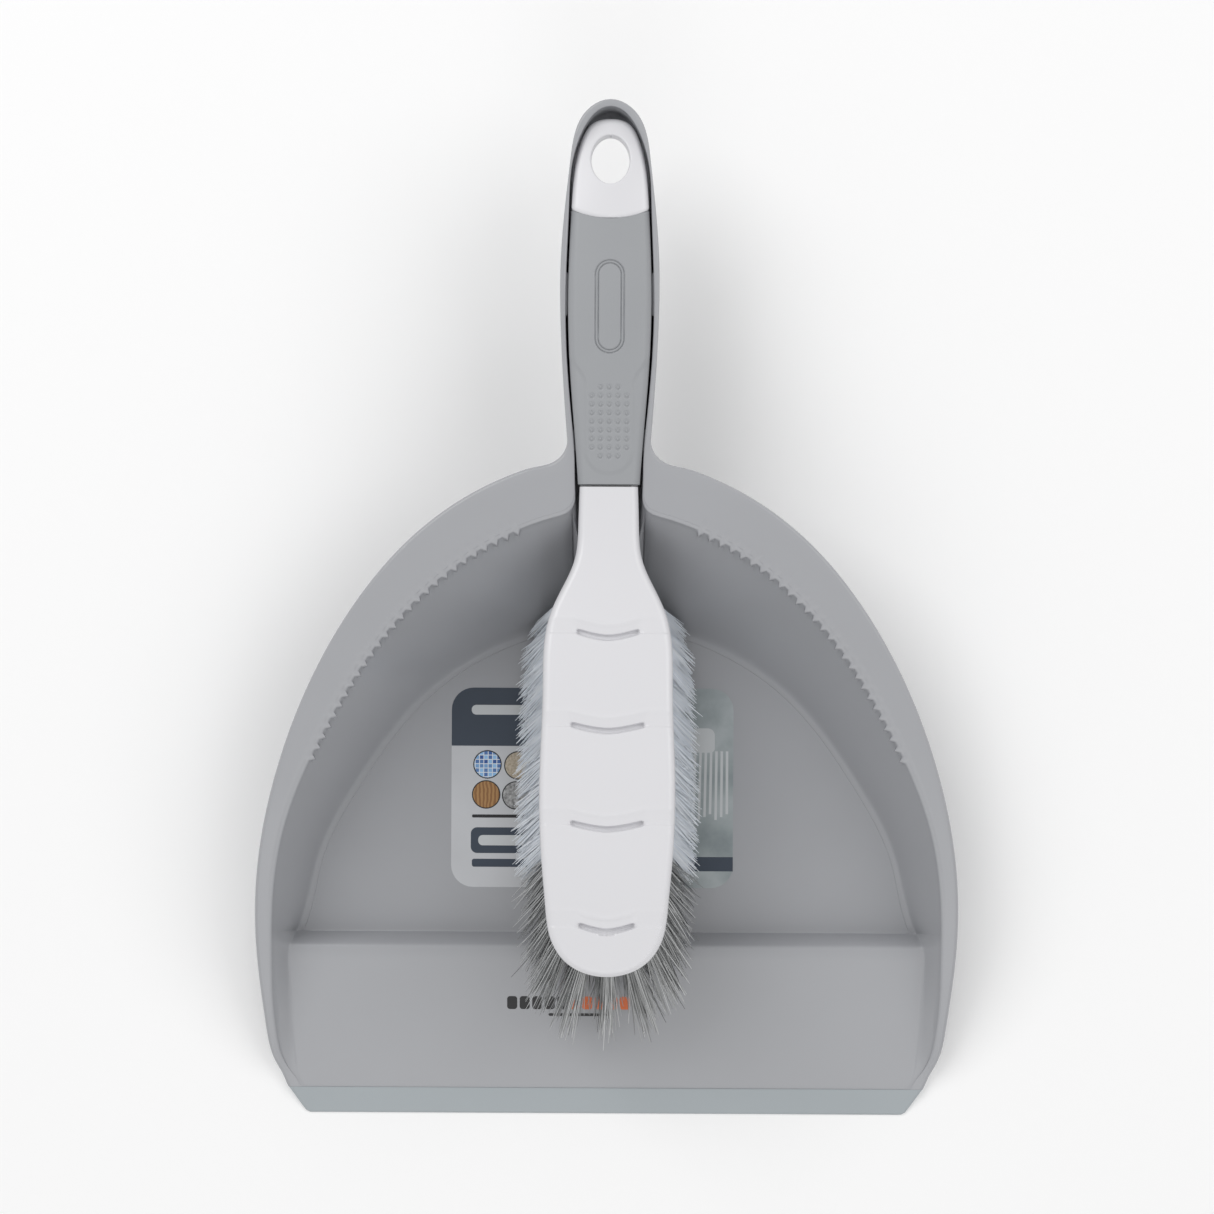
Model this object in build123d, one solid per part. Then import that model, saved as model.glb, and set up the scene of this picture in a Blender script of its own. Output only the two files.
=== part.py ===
from build123d import *
import math
import os

# Dust pan with a hand brush clipped into its handle.
# Frame: X across the pan, +Y from the rubber lip towards the handle, +Z up.
# The origin is under the middle of the whole set, on the surface that the pan stands on.
# All sizes are in millimetres.

# ---------------------------------------------------------------- whole pan
LIP_Y = -173.0  # front edge of the rubber lip
HANDLE_END_Y = 173.0  # rear end of the pan's handle
SEAM_Y = -163.3  # where the rubber lip meets the plastic
WALL = 2.2  # moulded wall thickness
SKIRT_DEPTH = 5.0  # turned-down outer edge of the rim
SKIRT_WALL = 1.8
INSET_STEPS = 9  # points on each curve of the outline, for the skirt's inner face
LOFT_TOP_Z = 75.0  # height at which the cutting lofts end
FAR = 260.0  # larger than the set, for the cutting prisms

# Outer outline, right half, from the lip seam to the handle's end.
SEAM_HALF = 111.3
BODY_SIDE = [
    (SEAM_HALF, SEAM_Y),
    (112.7, -159.7),
    (115.3, -154.3),
    (118.0, -141.0),
    (120.4, -110.0),
    (118.8, -82.0),
    (111.9, -51.0),
    (100.0, -20.4),
    (84.2, 6.4),
    (64.7, 28.5),
    (42.5, 43.8),
    (28.4, 49.9),
]
HANDLE_SIDE = [(14.0, 60.0), (16.1, 92.0), (16.3, 122.0), (13.4, 152.5), (7.8, 169.4), (0.0, HANDLE_END_Y)]

# Foot of the inner wall and the inner edge of the rim above it, in pairs, right half, front to back.
WALL_FOOT = [
    (105.6, -180.0),
    (106.4, -140.0),
    (107.0, -107.0),
    (100.7, -82.5),
    (87.3, -56.3),
    (63.0, -25.5),
    (38.4, -9.3),
    (0.0, -0.5),
]
RIM_EDGE = [
    (110.0, -180.0),
    (113.4, -140.0),
    (114.6, -105.0),
    (109.6, -72.0),
    (98.2, -43.0),
    (72.6, -2.5),
    (44.0, 22.5),
    (0.0, 36.5),
]

# Side views as (y, z): the rim's top face, the pan's floor with its ramp, and the handle's trough.
RIM_Z = [(-176.0, 0.0), (-163.3, 2.9), (-156.0, 4.9), (-149.0, 9.0), (-125.0, 20.5), (-95.0, 32.0)]
RIM_Z += [(-50.0, 43.5), (0.0, 53.0), (45.0, 59.5), (108.0, 63.0), (176.0, 66.0)]
FLOOR_Z = 2.2
CREST_Y, CREST_Z = -113.7, 13.0
STEP_FOOT_Y = -108.2
RAMP_FRONT_Z = 2.6
TROUGH_FLOOR = [(10.0, 44.0), (60.0, 42.6), (110.0, 42.6), (150.0, 46.5), (180.0, 55.0)]

# Trough in the handle: right half of its edge halfway up, front to back.
TROUGH_FRONT_Y = 16.0
TROUGH_EDGE = [(11.4, 50.0), (13.0, 72.0), (14.7, 106.0), (13.7, 138.0), (10.8, 159.0), (0.0, 170.6)]
TROUGH_DRAFT = 0.3  # how far the walls lean out between there and the cutting lofts' ends
PAN_HOLE_Y, PAN_HOLE_RX, PAN_HOLE_RY = 153.2, 8.0, 9.6

# Comb teeth along the rim's inner edge and snap ribs in the trough.
TOOTH_COUNT = 26
TOOTH_FROM, TOOTH_TO = 0.30, 0.755  # share of the rim edge's length, from the front
TOOTH_PITCH_SHARE = 0.42  # half a tooth's base, as a share of the pitch
TOOTH_REACH, TOOTH_ROOT, TOOTH_THICK, TOOTH_DROP = 1.8, 1.2, 1.9, 0.35
SNAP_RIBS = [(108.5, 14.0), (60.0, 8.0)]  # y of the middle, length
SNAP_RIB_R, SNAP_RIB_SET = 0.9, 0.6  # radius, and how far the axis is inside the wall

# ---------------------------------------------------------------- rubber lip
LIP_HALF = 105.0
LIP_EDGE_Z = 0.7
LIP_TOP_Z = 3.1
TONGUE_LENGTH, TONGUE_LOW_Z, TONGUE_HIGH_Z = 4.5, 0.9, 1.9

# ---------------------------------------------------------------- label
LABEL_CENTRE = (-5.2, -59.0)
LABEL_SIZE = (98.5, 69.7)
LABEL_CORNER_R = 7.7
LABEL_THICK = 0.15

# ---------------------------------------------------------------- brush
NOSE_Y = -118.3
GRIP_FRONT_Y = 45.0
BRUSH_END_Y = 167.2
HEAD_SIDE = [
    (0.0, NOSE_Y),
    (14.0, -113.0),
    (18.6, -105.5),
    (20.4, -94.5),
    (21.8, -78.5),
    (22.5, -52.0),
    (21.6, -23.0),
    (19.4, 1.5),
    (15.3, 10.7),
    (11.3, 20.0),
    (10.1, 32.0),
    (9.7, GRIP_FRONT_Y + 0.5),
]
GRIP_SIDE = [
    (10.1, GRIP_FRONT_Y),
    (11.1, 59.0),
    (12.7, 79.0),
    (13.7, 106.0),
    (12.6, 139.0),
    (9.7, 159.5),
    (5.8, 165.8),
    (0.0, BRUSH_END_Y),
]
SEAM_SIDE_Y, SEAM_MID_Y = 137.0, 133.4  # curved rear edge of the grip
CORE_INSET = 2.6  # rubber thickness at the grip's sides
CORE_FLOOR, CORE_ROOF = 2.4, 1.8  # rubber thickness under and over the core
HOLE_Y, HOLE_RX, HOLE_RY = 153.2, 6.4, 8.2

# Side views of the brush as (y, z), nose to handle end.
HEAD_TOP = [(-125.0, 70.0), (-105.0, 72.6), (-60.0, 72.2), (0.0, 66.4), (24.0, 62.7), (46.0, 62.7)]
HEAD_UNDER = [(-125.0, 62.6), (-60.0, 57.2), (0.0, 51.2), (24.0, 51.6), (46.0, 51.8)]
GRIP_TOP = [(44.0, 63.3), (70.0, 65.0), (106.0, 66.5), (140.0, 65.4), (170.0, 60.0)]
GRIP_UNDER = [(44.0, 51.0), (70.0, 47.2), (100.0, 45.6), (130.0, 49.6), (170.0, 54.0)]
HEAD_EDGE_R = 2.4
GRIP_EDGE_R = 3.0

# Grooves moulded into the head's top: (y at the middle, half-width).
GROOVES = [(-6.0, 9.9), (-36.8, 11.7), (-69.2, 11.6), (-103.0, 8.8)]
GROOVE_RISE, GROOVE_WIDTH, GROOVE_DEPTH = 1.9, 1.7, 1.6

# Tufts: rows across the head, from its heel to its nose.
ROW_FIRST_Y, ROW_PITCH, ROW_COUNT, WHITE_ROWS = 5.0, 8.5, 14, 10
NOSE_ROW_Y, NOSE_ROW_XS = -111.9, (-7.6, 0.0, 7.6)
NOSE_SIDE_LEAN = 1.5  # degrees for each millimetre off the middle
TUFT_MARGIN = 5.2  # outer tuft's axis from the head's side
TUFT_ROOT_R, TUFT_TIP_R = 2.2, 3.8
TUFT_FREE, TUFT_DEPTH = 45.0, 8.0
HOLE_CLEARANCE = 0.1
SIDE_LEAN = 15.0  # degrees, of the outer columns
FORWARD_LEAN = 18.0  # degrees, of the white rows
NOSE_LEAN = 36.0  # degrees, of the nose row
ANCHOR_SIZE = (3.9, 0.4, 1.9)
ANCHOR_DEPTH = 6.4


def interpolate(points, y):
    """Height of a side view's polyline at y."""
    for (y0, z0), (y1, z1) in zip(points, points[1:]):
        if y <= y1:
            return z0 + (z1 - z0) * (y - y0) / (y1 - y0)
    return points[-1][1]


def height_on(edge, y):
    """Height of a side-view curve at y, by halving the curve's parameter."""
    low, high = 0.0, 1.0
    for _ in range(40):
        middle = (low + high) / 2
        if (edge @ middle).X < y:
            low = middle
        else:
            high = middle
    return (edge @ ((low + high) / 2)).Y


def prism_across(points, towards_z):
    """Solid that fills the side view between a curve of (y, z) points and the level towards_z."""
    top = Spline(*points)
    first, last = points[0], points[-1]
    sides = [
        Line(last, (last[0], towards_z)),
        Line((last[0], towards_z), (first[0], towards_z)),
        Line((first[0], towards_z), first),
    ]
    return extrude(Plane.YZ * Face(Wire([top, *sides])), FAR, both=True)


def polygon_across(points):
    """Solid whose side view is the closed polygon of (y, z) points."""
    return extrude(Plane.YZ * Face(Wire(Polyline(*points, close=True))), FAR, both=True)


def mirrored_face(half):
    """Face bounded by edges on the +X side, which start and end on the Y axis, and their mirror image."""
    return Face(Wire(half + [edge.mirror(Plane.YZ) for edge in half]))


def rounded_face(side):
    """Face inside one smooth curve through the +X side's points, round the tip on the Y axis, and back."""
    if side[0][0] == 0.0:
        side = side[::-1]
    curve = Spline(*side, *[(-x, y) for x, y in side[-2::-1]])
    return Face(Wire([curve, Line(curve @ 1, curve @ 0)]))


def column(face, low_z, high_z):
    """Upright prism over a plan face."""
    return Pos(0, 0, low_z) * extrude(face, high_z - low_z, dir=(0, 0, 1))


def shifted(points, dz):
    return [(y, z + dz) for y, z in points]


def pan_outline():
    """Right half of the pan's outline: front line, body side, concave fillet and handle side."""
    body = Spline(*BODY_SIDE, tangents=[(0.48, 1.0), (-1.0, 0.36)])
    handle = Spline(*HANDLE_SIDE, tangents=[(0.08, 1.0), (-1.0, 0.0)])
    blend = Spline(body @ 1, (17.0, 53.6), handle @ 0, tangents=[body % 1, handle % 0])
    return [Line((0.0, SEAM_Y), body @ 0), body, blend, handle]


def inside_skirt():
    """Plan face inside the skirt, which is open at the lip seam."""
    points = []
    for curve in pan_outline()[1:]:
        for i in range(INSET_STEPS):
            point, along = curve @ (i / INSET_STEPS), curve % (i / INSET_STEPS)
            points.append((point.X - along.Y * SKIRT_WALL, point.Y + along.X * SKIRT_WALL))
    points.append((0.0, HANDLE_END_Y - SKIRT_WALL))
    corner = (points[0][0], SEAM_Y - 5.0)
    return mirrored_face([Line((0.0, corner[1]), corner), Line(corner, points[0]), Spline(*points)])


def well(grow, low_z):
    """Solid of the pan's well between its foot and LOFT_TOP_Z, grown outwards by grow."""
    foot, top = [], []
    rim = Spline(*RIM_Z)
    for (fx, fy), (ex, ey) in zip(WALL_FOOT, RIM_EDGE):
        rise = max(height_on(rim, ey), 14.0) - FLOOR_Z
        run = math.hypot(ex - fx, ey - fy)
        ux, uy = (ex - fx) / run, (ey - fy) / run
        reach = run * (LOFT_TOP_Z - FLOOR_Z) / rise
        back = run * (low_z - FLOOR_Z) / rise
        foot.append((fx + ux * (grow + back), fy + uy * (grow + back)))
        top.append((fx + ux * (grow + reach), fy + uy * (grow + reach)))
    return loft([well_section(foot, low_z), well_section(top, LOFT_TOP_Z)], ruled=True)


def well_section(points, z):
    side = Spline(*points, tangents=[(0.0, 1.0), (-1.0, 0.0)])
    return Pos(0, 0, z) * mirrored_face([Line((0.0, points[0][1]), points[0]), side])


def trough(grow, low_z):
    """Solid of the handle's trough, wider at its top, grown outwards by grow."""
    sections = []
    for inset, z in ((TROUGH_DRAFT, low_z), (-TROUGH_DRAFT, LOFT_TOP_Z)):
        out = grow - inset
        edge = [(x + out, y) for x, y in TROUGH_EDGE[:-1]]
        edge.append((0.0, TROUGH_EDGE[-1][1] + out))
        side = Spline(*edge, tangents=[(0.0, 1.0), (-1.0, 0.0)])
        corner = (edge[0][0], TROUGH_FRONT_Y)
        half = [Line((0.0, TROUGH_FRONT_Y), corner), Line(corner, edge[0]), side]
        sections.append(Pos(0, 0, z) * mirrored_face(half))
    return loft(sections, ruled=True)


def floor_line(drop):
    """Side view of the pan's floor: ramp, crest, step and well floor, lowered by drop."""
    return [
        (-FAR, RAMP_FRONT_Z - drop - 12.0),
        (SEAM_Y - 8.0, RAMP_FRONT_Z - drop - 1.4),
        (SEAM_Y, RAMP_FRONT_Z - drop),
        (CREST_Y - 1.2, CREST_Z - drop),
        (CREST_Y + 1.2, CREST_Z - drop - 0.4),
        (STEP_FOOT_Y, FLOOR_Z - drop),
        (FAR, FLOOR_Z - drop),
    ]


def above_floor(drop):
    return polygon_across(floor_line(drop) + [(FAR, FAR), (-FAR, FAR)])


def snap_ribs():
    ribs = []
    rim = Spline(*RIM_Z)
    for y, length in SNAP_RIBS:
        half = interpolate([(b, a) for a, b in TROUGH_EDGE], y)
        for side in (-1, 1):
            rod = extrude(Plane.XZ * Circle(SNAP_RIB_R), length / 2, both=True)
            ribs.append(Pos(side * (half + SNAP_RIB_SET), y, height_on(rim, y) - 5.0) * rod)
    return ribs


def comb_teeth():
    """Pointed teeth under the rim's inner edge, on both sides."""
    rim = Spline(*RIM_Z)
    edge = Spline(*RIM_EDGE, tangents=[(0.0, 1.0), (-1.0, 0.0)])
    pitch = (TOOTH_TO - TOOTH_FROM) / (TOOTH_COUNT - 1)
    half_base = TOOTH_PITCH_SHARE * pitch * edge.length
    teeth = []
    for i in range(TOOTH_COUNT):
        at = TOOTH_FROM + i * pitch
        point, along = edge @ at, edge % at
        inward = Vector(-along.Y, along.X)
        corners = [
            point - along * half_base - inward * TOOTH_ROOT,
            point + along * half_base - inward * TOOTH_ROOT,
            point + along * half_base,
            point + inward * TOOTH_REACH,
            point - along * half_base,
        ]
        top_z = height_on(rim, point.Y) - TOOTH_DROP
        face = Face(Wire(Polyline(*[(c.X, c.Y) for c in corners], close=True)))
        tooth = column(face, top_z - TOOTH_THICK, top_z)
        teeth += [tooth, mirror(tooth, about=Plane.YZ)]
    return teeth


def lip_tongue():
    """Tongue on the pan's front edge that the lip is moulded round."""
    bar = Box(2 * LIP_HALF - 4.0, 2 * TONGUE_LENGTH, TONGUE_HIGH_Z - TONGUE_LOW_Z)
    return Pos(0, SEAM_Y, (TONGUE_LOW_Z + TONGUE_HIGH_Z) / 2) * bar


def pan_body():
    outline = mirrored_face(pan_outline())
    block = column(outline, -5.0, 85.0)
    inner_block = column(inside_skirt(), -5.0, 85.0)
    below_rim = prism_across(RIM_Z, -60.0)
    flange = block & below_rim & prism_across(shifted(RIM_Z, -2.0), 120.0)
    skirt = (block - inner_block) & below_rim & prism_across(shifted(RIM_Z, -SKIRT_DEPTH), 120.0)
    shell = well(WALL, FLOOR_Z - WALL) & above_floor(WALL) & block & below_rim
    trough_shell = trough(WALL, 38.0) & block & below_rim
    trough_shell &= prism_across(shifted(TROUGH_FLOOR, -WALL), 120.0)
    cavity = well(0.0, FLOOR_Z) & above_floor(0.0)
    channel = trough(0.0, 38.0) & prism_across(TROUGH_FLOOR, 120.0)
    hole = Pos(0, PAN_HOLE_Y) * column(Ellipse(PAN_HOLE_RX, PAN_HOLE_RY), 20.0, 80.0)
    body = flange + [skirt, shell, trough_shell]
    body -= [cavity, channel, hole]
    body &= polygon_across([(-FAR, 0.0), (FAR, 0.0), (FAR, FAR), (-FAR, FAR)])
    return body + [lip_tongue()] + comb_teeth() + snap_ribs()


def rubber_lip():
    profile = [
        (LIP_Y, 0.0),
        (SEAM_Y, 0.0),
        (SEAM_Y, LIP_TOP_Z),
        (LIP_Y, LIP_EDGE_Z),
    ]
    plan = mirrored_face(
        [
            Line((0.0, LIP_Y), (LIP_HALF - 1.5, LIP_Y)),
            Line((LIP_HALF - 1.5, LIP_Y), (LIP_HALF, LIP_Y + 0.8)),
            Line((LIP_HALF, LIP_Y + 0.8), (SEAM_HALF - 0.2, SEAM_Y)),
            Line((SEAM_HALF - 0.2, SEAM_Y), (0.0, SEAM_Y)),
        ]
    )
    lip = polygon_across(profile) & column(plan, -5.0, 20.0)
    return lip - lip_tongue()


def label():
    sheet = column(RectangleRounded(*LABEL_SIZE, LABEL_CORNER_R), FLOOR_Z, FLOOR_Z + LABEL_THICK)
    return Pos(*LABEL_CENTRE) * sheet


def brush_core_bar():
    """Core of the handle inside the rubber grip."""
    plan = mirrored_face(
        [
            Line((0.0, GRIP_FRONT_Y - 3.0), (GRIP_SIDE[0][0] - CORE_INSET, GRIP_FRONT_Y - 3.0)),
            Spline(
                (GRIP_SIDE[0][0] - CORE_INSET, GRIP_FRONT_Y - 3.0),
                (GRIP_SIDE[2][0] - CORE_INSET, GRIP_SIDE[2][1]),
                (GRIP_SIDE[3][0] - CORE_INSET, GRIP_SIDE[3][1]),
                (GRIP_SIDE[4][0] - CORE_INSET, SEAM_SIDE_Y + 3.0),
            ),
            Line((GRIP_SIDE[4][0] - CORE_INSET, SEAM_SIDE_Y + 3.0), (0.0, SEAM_SIDE_Y + 3.0)),
        ]
    )
    bar = column(plan, 30.0, 90.0)
    bar &= prism_across(shifted(GRIP_TOP, -CORE_ROOF), -60.0)
    return bar & prism_across(shifted(GRIP_UNDER, CORE_FLOOR), 120.0)


def handle_envelope():
    """Outer shape of the grip and the hanging end together, with rounded long edges."""
    solid = column(rounded_face(GRIP_SIDE), 30.0, 90.0)
    solid &= prism_across(GRIP_TOP, -60.0)
    solid &= prism_across(GRIP_UNDER, 120.0)
    long_edges = [
        edge
        for edge in solid.edges()
        if edge.bounding_box().size.Y > 60.0 and edge.bounding_box().size.X > 1.0
    ]
    return fillet(long_edges, GRIP_EDGE_R)


def seam_prism():
    """Everything behind the curved seam between the grip and the hanging end."""
    seam = ThreePointArc((-20.0, SEAM_SIDE_Y + 4.0), (0.0, SEAM_MID_Y), (20.0, SEAM_SIDE_Y + 4.0))
    sides = [
        Line((20.0, SEAM_SIDE_Y + 4.0), (20.0, 200.0)),
        Line((20.0, 200.0), (-20.0, 200.0)),
        Line((-20.0, 200.0), (-20.0, SEAM_SIDE_Y + 4.0)),
    ]
    return column(Face(Wire([seam, *sides])), 20.0, 100.0)


def head_half(y):
    """Half-width of the brush head at y."""
    edge = Spline(*[(b, a) for a, b in HEAD_SIDE[1:]])
    return height_on(edge, y)


def brush_head():
    solid = column(rounded_face(HEAD_SIDE), 30.0, 90.0)
    solid &= prism_across(HEAD_TOP, -60.0)
    solid &= prism_across(HEAD_UNDER, 120.0)
    top_edges = [
        edge
        for edge in solid.edges()
        if edge.bounding_box().size.Y > 60.0 and edge.center().Z > 62.0
    ]
    return fillet(top_edges, HEAD_EDGE_R)


def groove_cuts():
    """Smile-shaped grooves in the head's top."""
    top = Spline(*HEAD_TOP)
    cuts = []
    for y, half in GROOVES:
        path = ThreePointArc((-half, y + GROOVE_RISE), (0.0, y), (half, y + GROOVE_RISE))
        strip = trace(path, GROOVE_WIDTH)
        low_z = height_on(top, y) - GROOVE_DEPTH
        cuts.append(column(strip, low_z, low_z + 10.0))
    return cuts


def tuft_places():
    """Rows of tufts: each row is a list of (x, y, side lean, forward lean), in degrees."""
    rows = []
    for i in range(ROW_COUNT):
        y = ROW_FIRST_Y - i * ROW_PITCH
        reach = head_half(y) - TUFT_MARGIN
        past_white = max(0, i - WHITE_ROWS + 1) / (ROW_COUNT - WHITE_ROWS + 1)
        forward = FORWARD_LEAN + (NOSE_LEAN - FORWARD_LEAN) * past_white
        rows.append([(c * reach / 2, y, c * SIDE_LEAN / 2, forward) for c in range(-2, 3)])
    rows.append([(x, NOSE_ROW_Y, x * NOSE_SIDE_LEAN, NOSE_LEAN) for x in NOSE_ROW_XS])
    return rows


def tuft_plane(place):
    """Plane at a tuft's mouth on the head's underside, whose Z axis runs down the tuft."""
    x, y, side, forward = place
    under = Spline(*HEAD_UNDER)
    down = Vector(math.tan(math.radians(side)), -math.tan(math.radians(forward)), -1.0)
    return Plane(origin=(x, y, height_on(under, y)), x_dir=(1.0, 0.0, down.X), z_dir=down)


def anchor(plane):
    """Flat wire anchor that the tuft is folded over, near the bottom of its hole."""
    return plane * Pos(0, 0, -ANCHOR_DEPTH) * Box(*ANCHOR_SIZE)


def tuft(plane):
    profile = Polyline(
        (0.0, -TUFT_DEPTH),
        (TUFT_ROOT_R, -TUFT_DEPTH),
        (TUFT_ROOT_R, 0.0),
        (TUFT_TIP_R, TUFT_FREE - 1.5),
        (TUFT_TIP_R - 1.2, TUFT_FREE),
        (0.0, TUFT_FREE),
        close=True,
    )
    solid = revolve(Plane.XZ * Face(Wire(profile)), Axis.Z)
    return plane * solid - anchor(plane)


def tuft_hole(plane):
    depth = TUFT_DEPTH + HOLE_CLEARANCE
    drill = Cylinder(TUFT_ROOT_R + HOLE_CLEARANCE, depth + 4.0, align=(Align.CENTER, Align.CENTER, Align.MIN))
    return plane * Pos(0, 0, -depth) * drill


def write(name, shape):
    export_step(shape, f"parts/{name}.step")


def main():
    os.makedirs("parts", exist_ok=True)
    write("pan_body", pan_body())
    write("rubber_lip", rubber_lip())
    write("label", label())

    core = brush_core_bar()
    envelope = handle_envelope()
    behind_seam = seam_prism()
    hang_hole = Pos(0, HOLE_Y) * column(Ellipse(HOLE_RX, HOLE_RY), 20.0, 100.0)
    hang_end = envelope & behind_seam
    grip = envelope - behind_seam - core
    planes = [[tuft_plane(place) for place in row] for row in tuft_places()]
    head = brush_head() + core + hang_end
    cutters = groove_cuts() + [tuft_hole(plane) for row in planes for plane in row]
    head = head - hang_hole - cutters
    head -= grip
    write("brush_body", head)
    write("brush_grip", grip)
    for number, row in enumerate(planes, start=1):
        colour = "white" if number <= WHITE_ROWS else "grey"
        write(f"{colour}_tufts_row_{number:02d}", Compound(children=[tuft(plane) for plane in row]))
    write("tuft_anchors", Compound(children=[anchor(plane) for row in planes for plane in row]))


main()
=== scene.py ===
import math

import bmesh
import bpy
import numpy as np
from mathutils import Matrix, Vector


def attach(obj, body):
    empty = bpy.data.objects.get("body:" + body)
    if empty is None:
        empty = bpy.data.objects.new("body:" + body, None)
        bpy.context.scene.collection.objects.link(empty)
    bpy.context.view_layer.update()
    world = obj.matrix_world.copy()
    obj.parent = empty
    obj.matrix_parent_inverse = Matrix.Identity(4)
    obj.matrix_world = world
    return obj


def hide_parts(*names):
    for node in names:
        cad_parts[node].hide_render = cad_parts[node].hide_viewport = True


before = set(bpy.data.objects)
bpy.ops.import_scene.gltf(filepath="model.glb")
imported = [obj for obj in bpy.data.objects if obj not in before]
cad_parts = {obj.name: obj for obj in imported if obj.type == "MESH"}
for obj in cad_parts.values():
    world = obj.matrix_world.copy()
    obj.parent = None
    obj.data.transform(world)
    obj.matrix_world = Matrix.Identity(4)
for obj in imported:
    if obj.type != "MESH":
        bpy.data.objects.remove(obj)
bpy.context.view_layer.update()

# Lengths in this script are in millimetres, in the CAD's frame, until make_mesh() turns them into metres.
MM = 0.001
rng = np.random.default_rng(7)


# ---- curves
class Curve:
    """Smooth plane curve through points, read by its share of arc length."""

    def __init__(self, points, start=None, end=None):
        p = np.array(points, float)
        t = np.r_[0.0, np.cumsum(np.hypot(*np.diff(p, axis=0).T))]
        n = len(p)
        a = np.zeros((n, n))
        b = np.zeros((n, 2))
        h = np.diff(t)
        for i in range(1, n - 1):
            a[i, i - 1], a[i, i], a[i, i + 1] = h[i], 2 * (h[i - 1] + h[i]), h[i - 1]
            b[i] = 3 * (h[i] * (p[i] - p[i - 1]) / h[i - 1] + h[i - 1] * (p[i + 1] - p[i]) / h[i])
        a[0, 0], a[0, 1], b[0] = 2.0, 1.0, 3 * (p[1] - p[0]) / h[0]
        a[-1, -1], a[-1, -2], b[-1] = 2.0, 1.0, 3 * (p[-1] - p[-2]) / h[-1]
        if start is not None:
            a[0, 1], a[0, 0], b[0] = 0.0, 1.0, np.array(start) / np.hypot(*start)
        if end is not None:
            a[-1, -2], a[-1, -1], b[-1] = 0.0, 1.0, np.array(end) / np.hypot(*end)
        m = np.linalg.solve(a, b)
        fine = []
        for i in range(n - 1):
            q = np.linspace(0, 1, 60, endpoint=i == n - 2)[:, None]
            fine.append(
                (2 * q**3 - 3 * q**2 + 1) * p[i]
                + (q**3 - 2 * q**2 + q) * h[i] * m[i]
                + (3 * q**2 - 2 * q**3) * p[i + 1]
                + (q**3 - q**2) * h[i] * m[i + 1]
            )
        self.set_points(np.vstack(fine))

    def set_points(self, points):
        self.p = points
        self.s = np.r_[0.0, np.cumsum(np.hypot(*np.diff(points, axis=0).T))]
        self.length = self.s[-1]
        self.s = self.s / self.length

    def at(self, s):
        s = np.atleast_1d(s)
        return np.stack([np.interp(s, self.s, self.p[:, 0]), np.interp(s, self.s, self.p[:, 1])], -1)

    def where_y(self, y):
        """Share of arc length where a curve with rising y reaches y."""
        return float(np.interp(y, self.p[:, 1], self.s))

    def keys(self, *ys):
        """Shares of arc length at the start, at these rising ys and at the end."""
        return [0.0] + [self.where_y(y) for y in ys] + [1.0]


def joined(*polylines):
    """One curve through all the polylines' points, without the repeated ones."""
    curve = Curve.__new__(Curve)
    points = np.vstack(polylines)
    keep = np.r_[True, np.hypot(*np.diff(points, axis=0).T) > 1e-6]
    curve.set_points(points[keep])
    return curve


def profile(points):
    """Side view: height as a function of y."""
    curve = Curve(points)
    return lambda y: np.interp(y, curve.p[:, 0], curve.p[:, 1])


def smooth_max(a, b, k):
    h = np.clip(0.5 + 0.5 * (a - b) / k, 0, 1)
    return b + (a - b) * h + k * h * (1 - h)


def smooth_step(a, b, x):
    t = np.clip((x - a) / (b - a), 0, 1)
    return t * t * (3 - 2 * t)


def mix(a, b, share):
    return a * (1 - share) + b * share


def between(start, end, shares):
    """Points at these shares of the way from start to end."""
    start, end = np.asarray(start, float), np.asarray(end, float)
    return start + (end - start) * np.array(shares)[:, None]


def arc_steps(r, count):
    """Insets and drops of a rounded edge, from its side to its top."""
    a = np.linspace(0, math.pi / 2, count)
    return r * (1 - np.cos(a)), r * (1 - np.sin(a))


def half_oval(y, rx, ry, count):
    """Half of an oval round (0, y), from its front to its back."""
    angles = np.linspace(math.pi, 0, count)
    points = np.stack([rx * np.sin(angles), y + ry * np.cos(angles)], -1)
    points[[0, -1], 0] = 0.0
    return points


def on_middle(y):
    """Points on the middle line."""
    return np.stack([np.zeros_like(y), y], -1)


# ---- meshes
def new_object(name, data):
    obj = bpy.data.objects.new(name, data)
    bpy.context.scene.collection.objects.link(obj)
    return obj


def make_mesh(name, verts, faces, sharp=40.0, merge=0.004, mirror=False):
    """Object from millimetre vertices. With mirror, the -X half is added and joined along X = 0."""
    if mirror:
        faces = faces + [tuple(len(verts) + i for i in f[::-1]) for f in faces]
        verts = np.vstack([verts, verts * np.array([-1.0, 1.0, 1.0])])
    mesh = bpy.data.meshes.new(name)
    mesh.from_pydata((verts * MM).tolist(), [], faces)
    bm = bmesh.new()
    bm.from_mesh(mesh)
    bmesh.ops.remove_doubles(bm, verts=bm.verts, dist=merge * MM)
    bmesh.ops.dissolve_degenerate(bm, dist=merge * MM * 0.5, edges=bm.edges)
    bmesh.ops.recalc_face_normals(bm, faces=bm.faces)
    bm.to_mesh(mesh)
    bm.free()
    mesh.polygons.foreach_set("use_smooth", [True] * len(mesh.polygons))
    mesh.set_sharp_from_angle(angle=math.radians(sharp))
    mesh.update()
    return new_object(name, mesh)


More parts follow.
